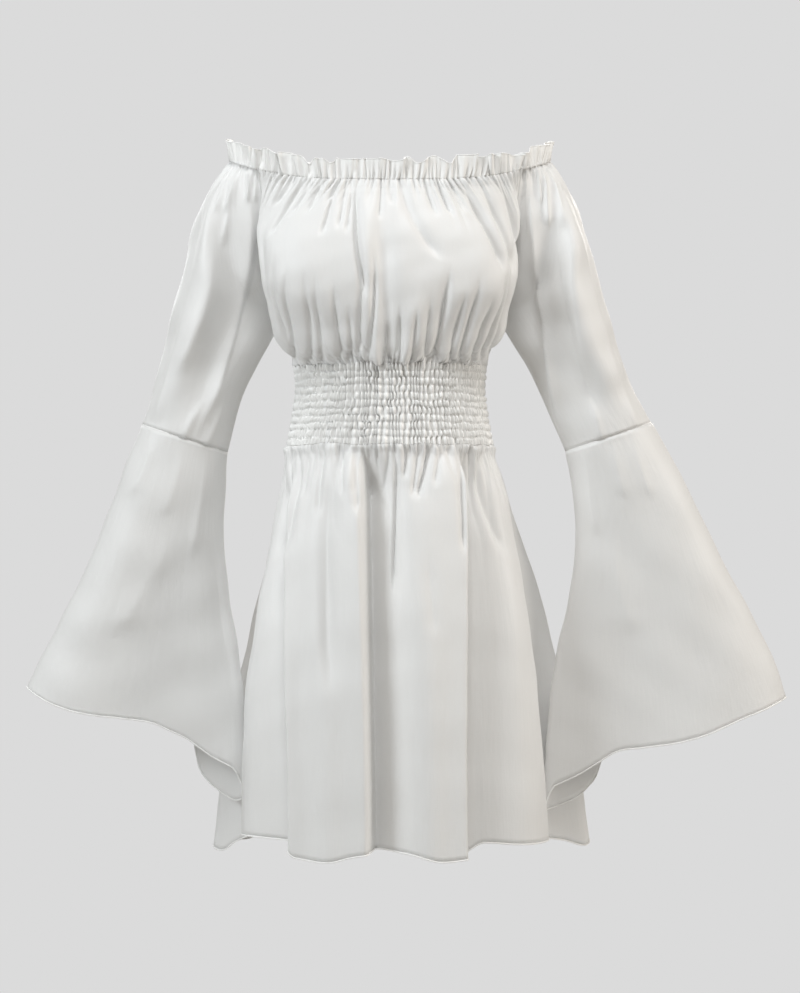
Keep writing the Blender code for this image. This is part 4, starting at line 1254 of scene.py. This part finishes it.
def rolled_hem_nodes():
    """A line of edges becomes a rolled hem, a narrow solid roll of cloth."""
    tree, given = node_group("rolled_hem", {"Radius": HEM_RADIUS * MM})
    curve = added(tree, "GeometryNodeMeshToCurve")
    ring = added(tree, "GeometryNodeCurvePrimitiveCircle", Resolution=HEM_SIDES)
    roll = added(tree, "GeometryNodeCurveToMesh", Fill_Caps=True)
    smooth = added(tree, "GeometryNodeSetShadeSmooth")
    joined(
        tree,
        (given, "Line", curve, "Mesh"),
        (given, "Radius", ring, "Radius"),
        (curve, "Curve", roll, "Curve"),
        (ring, "Curve", roll, "Profile Curve"),
        (roll, "Mesh", smooth, "Geometry"),
    )
    return dressed(tree, given, smooth, "Geometry")


def stitch_nodes():
    """A line of edges becomes a row of stitches, each a short rounded length of thread."""
    sizes = {"Spacing": STITCH_SPACING * MM, "Length": STITCH_LENGTH * MM, "Thread": THREAD_RADIUS * MM}
    tree, given = node_group("stitches", sizes)
    curve = added(tree, "GeometryNodeMeshToCurve")
    spots = tree.nodes.new("GeometryNodeCurveToPoints")
    spots.mode = "LENGTH"
    bead = added(tree, "GeometryNodeMeshUVSphere", Segments=4, Rings=3, Radius=1.0)
    size = added(tree, "ShaderNodeCombineXYZ")
    half = tree.nodes.new("ShaderNodeMath")
    half.operation = "MULTIPLY"
    half.inputs[1].default_value = 0.5
    placed = added(tree, "GeometryNodeInstanceOnPoints")
    joined(
        tree,
        (given, "Line", curve, "Mesh"),
        (curve, "Curve", spots, "Curve"),
        (given, "Spacing", spots, "Length"),
        (spots, "Points", placed, "Points"),
        (bead, "Mesh", placed, "Instance"),
        (spots, "Rotation", placed, "Rotation"),
        (given, "Length", half, 0),
        (given, "Thread", size, "X"),
        (given, "Thread", size, "Y"),
        (half, "Value", size, "Z"),
        (size, "Vector", placed, "Scale"),
    )
    return dressed(tree, given, placed, "Instances")


def along_lines(name, tree, lines, material, slot, closed=False, **sizes):
    """A hem or rows of stitches along lines of points, as one plain mesh."""
    corners, edges = [], []
    for line in lines:
        first = len(corners)
        corners += (line * MM).tolist()
        edges += [(first + i, first + i + 1) for i in range(len(line) - 1)]
        if closed:
            edges.append((len(corners) - 1, first))
    mesh = bpy.data.meshes.new(name)
    mesh.from_pydata(corners, edges, [])
    piece = linked(bpy.data.objects.new(name, mesh))
    maker = piece.modifiers.new("made along the line", "NODES")
    maker.node_group = tree
    for item in tree.interface.items_tree:
        if item.in_out == "INPUT" and item.name in sizes:
            maker[item.identifier] = sizes[item.name]
        elif item.in_out == "INPUT" and item.name == "Material":
            maker[item.identifier] = material
    bpy.context.view_layer.update()
    made = bpy.data.meshes.new_from_object(piece.evaluated_get(bpy.context.evaluated_depsgraph_get()))
    piece.modifiers.remove(maker)
    piece.data = made
    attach(piece, "root")
    return piece


def surface_line(grid, row, out, way, closed=False):
    """Points along one row of a grid, a little outside the cloth."""
    return grid[row] + outward(grid, closed)[row] * way * out


def stitched(name, tree, grid, rows, out, way, material, slot):
    """Rows of stitches along a piece, which stop just short of its side seams."""
    lines = [surface_line(grid, row, out, way)[2:-2] for row in rows]
    return along_lines(name, tree, lines, material, slot)


def dress():
    hem, stitch = rolled_hem_nodes(), stitch_nodes()
    # The rolled hems and elbow seams get a lighter colour, a painted highlight for the light their rolls
    # catch.
    thread, painted_highlight_edging = thread_material(), cloth_material("rolled_hem", *HEM_PAINTED_HIGHLIGHT_LOOK)

    def neck_stitches(node, grid, way):
        name = node + "_neck_elastic_stitches"
        return stitched(name, stitch, grid, NECK_STITCH_ROWS, NECK_STITCH_OUT, way, thread, node)

    grid = frill_grid()
    # The frill's colour is painted lighter, a painted highlight over the shade of its pleats.
    piece = cloth_piece("neck_frill", cloth_mesh("neck_frill", grid, closed=True), FRILL_PAINTED_LIGHT_LOOK)
    edge = along_lines(
        "frill_rolled_edge", hem, [grid[0]], painted_highlight_edging, "neck_frill", closed=True, Radius=FRILL_EDGE * MM,
    )

    for front, face in FACES.items():
        node, way = "bodice_" + face, -facing(front)
        grid = bodice_grid(front)
        sewn = with_allowance(with_allowance(grid, 0, 1, way), -1, -1, way)
        piece = cloth_piece(node, cloth_mesh(node, sewn, faces_out=front))
        neck_stitches(node, grid, way)

    rows = [WAIST_ROWS_EACH * (line + 1) for line in range(SHIRRED_ROWS)]
    for front, face in FACES.items():
        node, way = "waist_" + face, -facing(front)
        grid = waist_grid(front)
        # The shirred waist's colour is painted lighter, a painted highlight over the shade of its pleats.
        piece = cloth_piece(node, cloth_mesh(node, grid, faces_out=front), SHIRRED_PAINTED_LIGHT_LOOK)
        name = node + "_elastic_thread"
        shirring = stitched(name, stitch, grid, rows, ELASTIC_OUT, way, thread, node)

    for front, face in FACES.items():
        node, way = "skirt_" + face, -facing(front)
        grid = skirt_grid(front)
        piece = cloth_piece(node, cloth_mesh(node, with_allowance(grid, 0, 1, way), faces_out=front))
        edge = along_lines(node + "_rolled_hem", hem, [grid[-1]], painted_highlight_edging, node)

    for side, bell_hem, sleeve_creases, bell_creases in (
        (-1, BELL_HEM_RIGHT, SLEEVE_RIGHT_CREASES, BELL_RIGHT_CREASES),
        (1, BELL_HEM_LEFT, SLEEVE_LEFT_CREASES, BELL_LEFT_CREASES),
    ):
        node = "sleeve_" + HANDS[side]
        grid = sleeve_grid(side, sleeve_creases)
        mesh = cloth_mesh(node, with_allowance(grid, 0, 1, -side), faces_out=side > 0)
        underarm_joined(mesh)
        piece = cloth_piece(node, mesh)
        neck_stitches(node, grid, -side)

        node = "bell_" + HANDS[side]
        grid = bell_grid(side, bell_hem, bell_creases)
        piece = cloth_piece(node, cloth_mesh(node, grid, closed=True, faces_out=side < 0))
        edge = along_lines(node + "_rolled_hem", hem, [grid[-1]], painted_highlight_edging, node, closed=True)
        line = surface_line(grid, 0, ELBOW_SEAM_OUT, side, closed=True)
        seam = along_lines(
            node + "_elbow_seam", hem, [line], painted_highlight_edging, node, closed=True, Radius=ELBOW_SEAM * MM,
        )


def studio():
    """A plain pale floor and backdrop, soft lights, and the camera where the photograph was taken."""
    world = bpy.data.worlds.new("plain_backdrop")
    bpy.context.scene.world = world
    world.use_nodes = True
    tree = world.node_tree
    seen = with_values(tree.nodes["Background"], Color=(*BACKDROP, 1))
    soft = added(tree, "ShaderNodeBackground", Color=(*ROOM_LIGHT, 1), Strength=ROOM_STRENGTH)
    ray, mix = added(tree, "ShaderNodeLightPath"), added(tree, "ShaderNodeMixShader")
    joined(
        tree,
        (ray, "Is Camera Ray", mix, "Fac"),
        (soft, "Background", mix, 1),
        (seen, "Background", mix, 2),
        (mix, "Shader", tree.nodes["World Output"], "Surface"),
    )

    bpy.ops.mesh.primitive_circle_add(
        vertices=96, radius=FLOOR_RADIUS, fill_type="NGON", location=(0, 0, FLOOR_HEIGHT),
    )
    floor = bpy.context.object
    floor.name = "pale_floor"
    floor.data.materials.append(new_material("pale_floor", Base_Color=(*BACKDROP, 1), Roughness=0.9)[0])
    for name, place, aim, size, watts, colour in LIGHTS:
        lamp = bpy.data.lights.new(name, "AREA")
        lamp.shape = "DISK"
        lamp.size = size
        lamp.energy = watts
        lamp.color = colour
        holder = linked(bpy.data.objects.new(name, lamp))
        holder.location = place
        holder.rotation_euler = (Vector(aim) - Vector(place)).to_track_quat("-Z", "Y").to_euler()
        holder.visible_camera = False

    lens = bpy.data.cameras.new("camera")
    lens.lens = LENS
    lens.sensor_width = FILM_WIDTH
    lens.sensor_fit = "AUTO"
    camera = linked(bpy.data.objects.new("camera", lens))
    camera.location = (VIEW_ACROSS * MM, -VIEW_AWAY * MM, VIEW_HEIGHT * MM)
    camera.rotation_euler = (np.pi / 2, 0, 0)
    bpy.context.scene.camera = camera
    bpy.context.scene.view_settings.view_transform = "Standard"


dress()
studio()
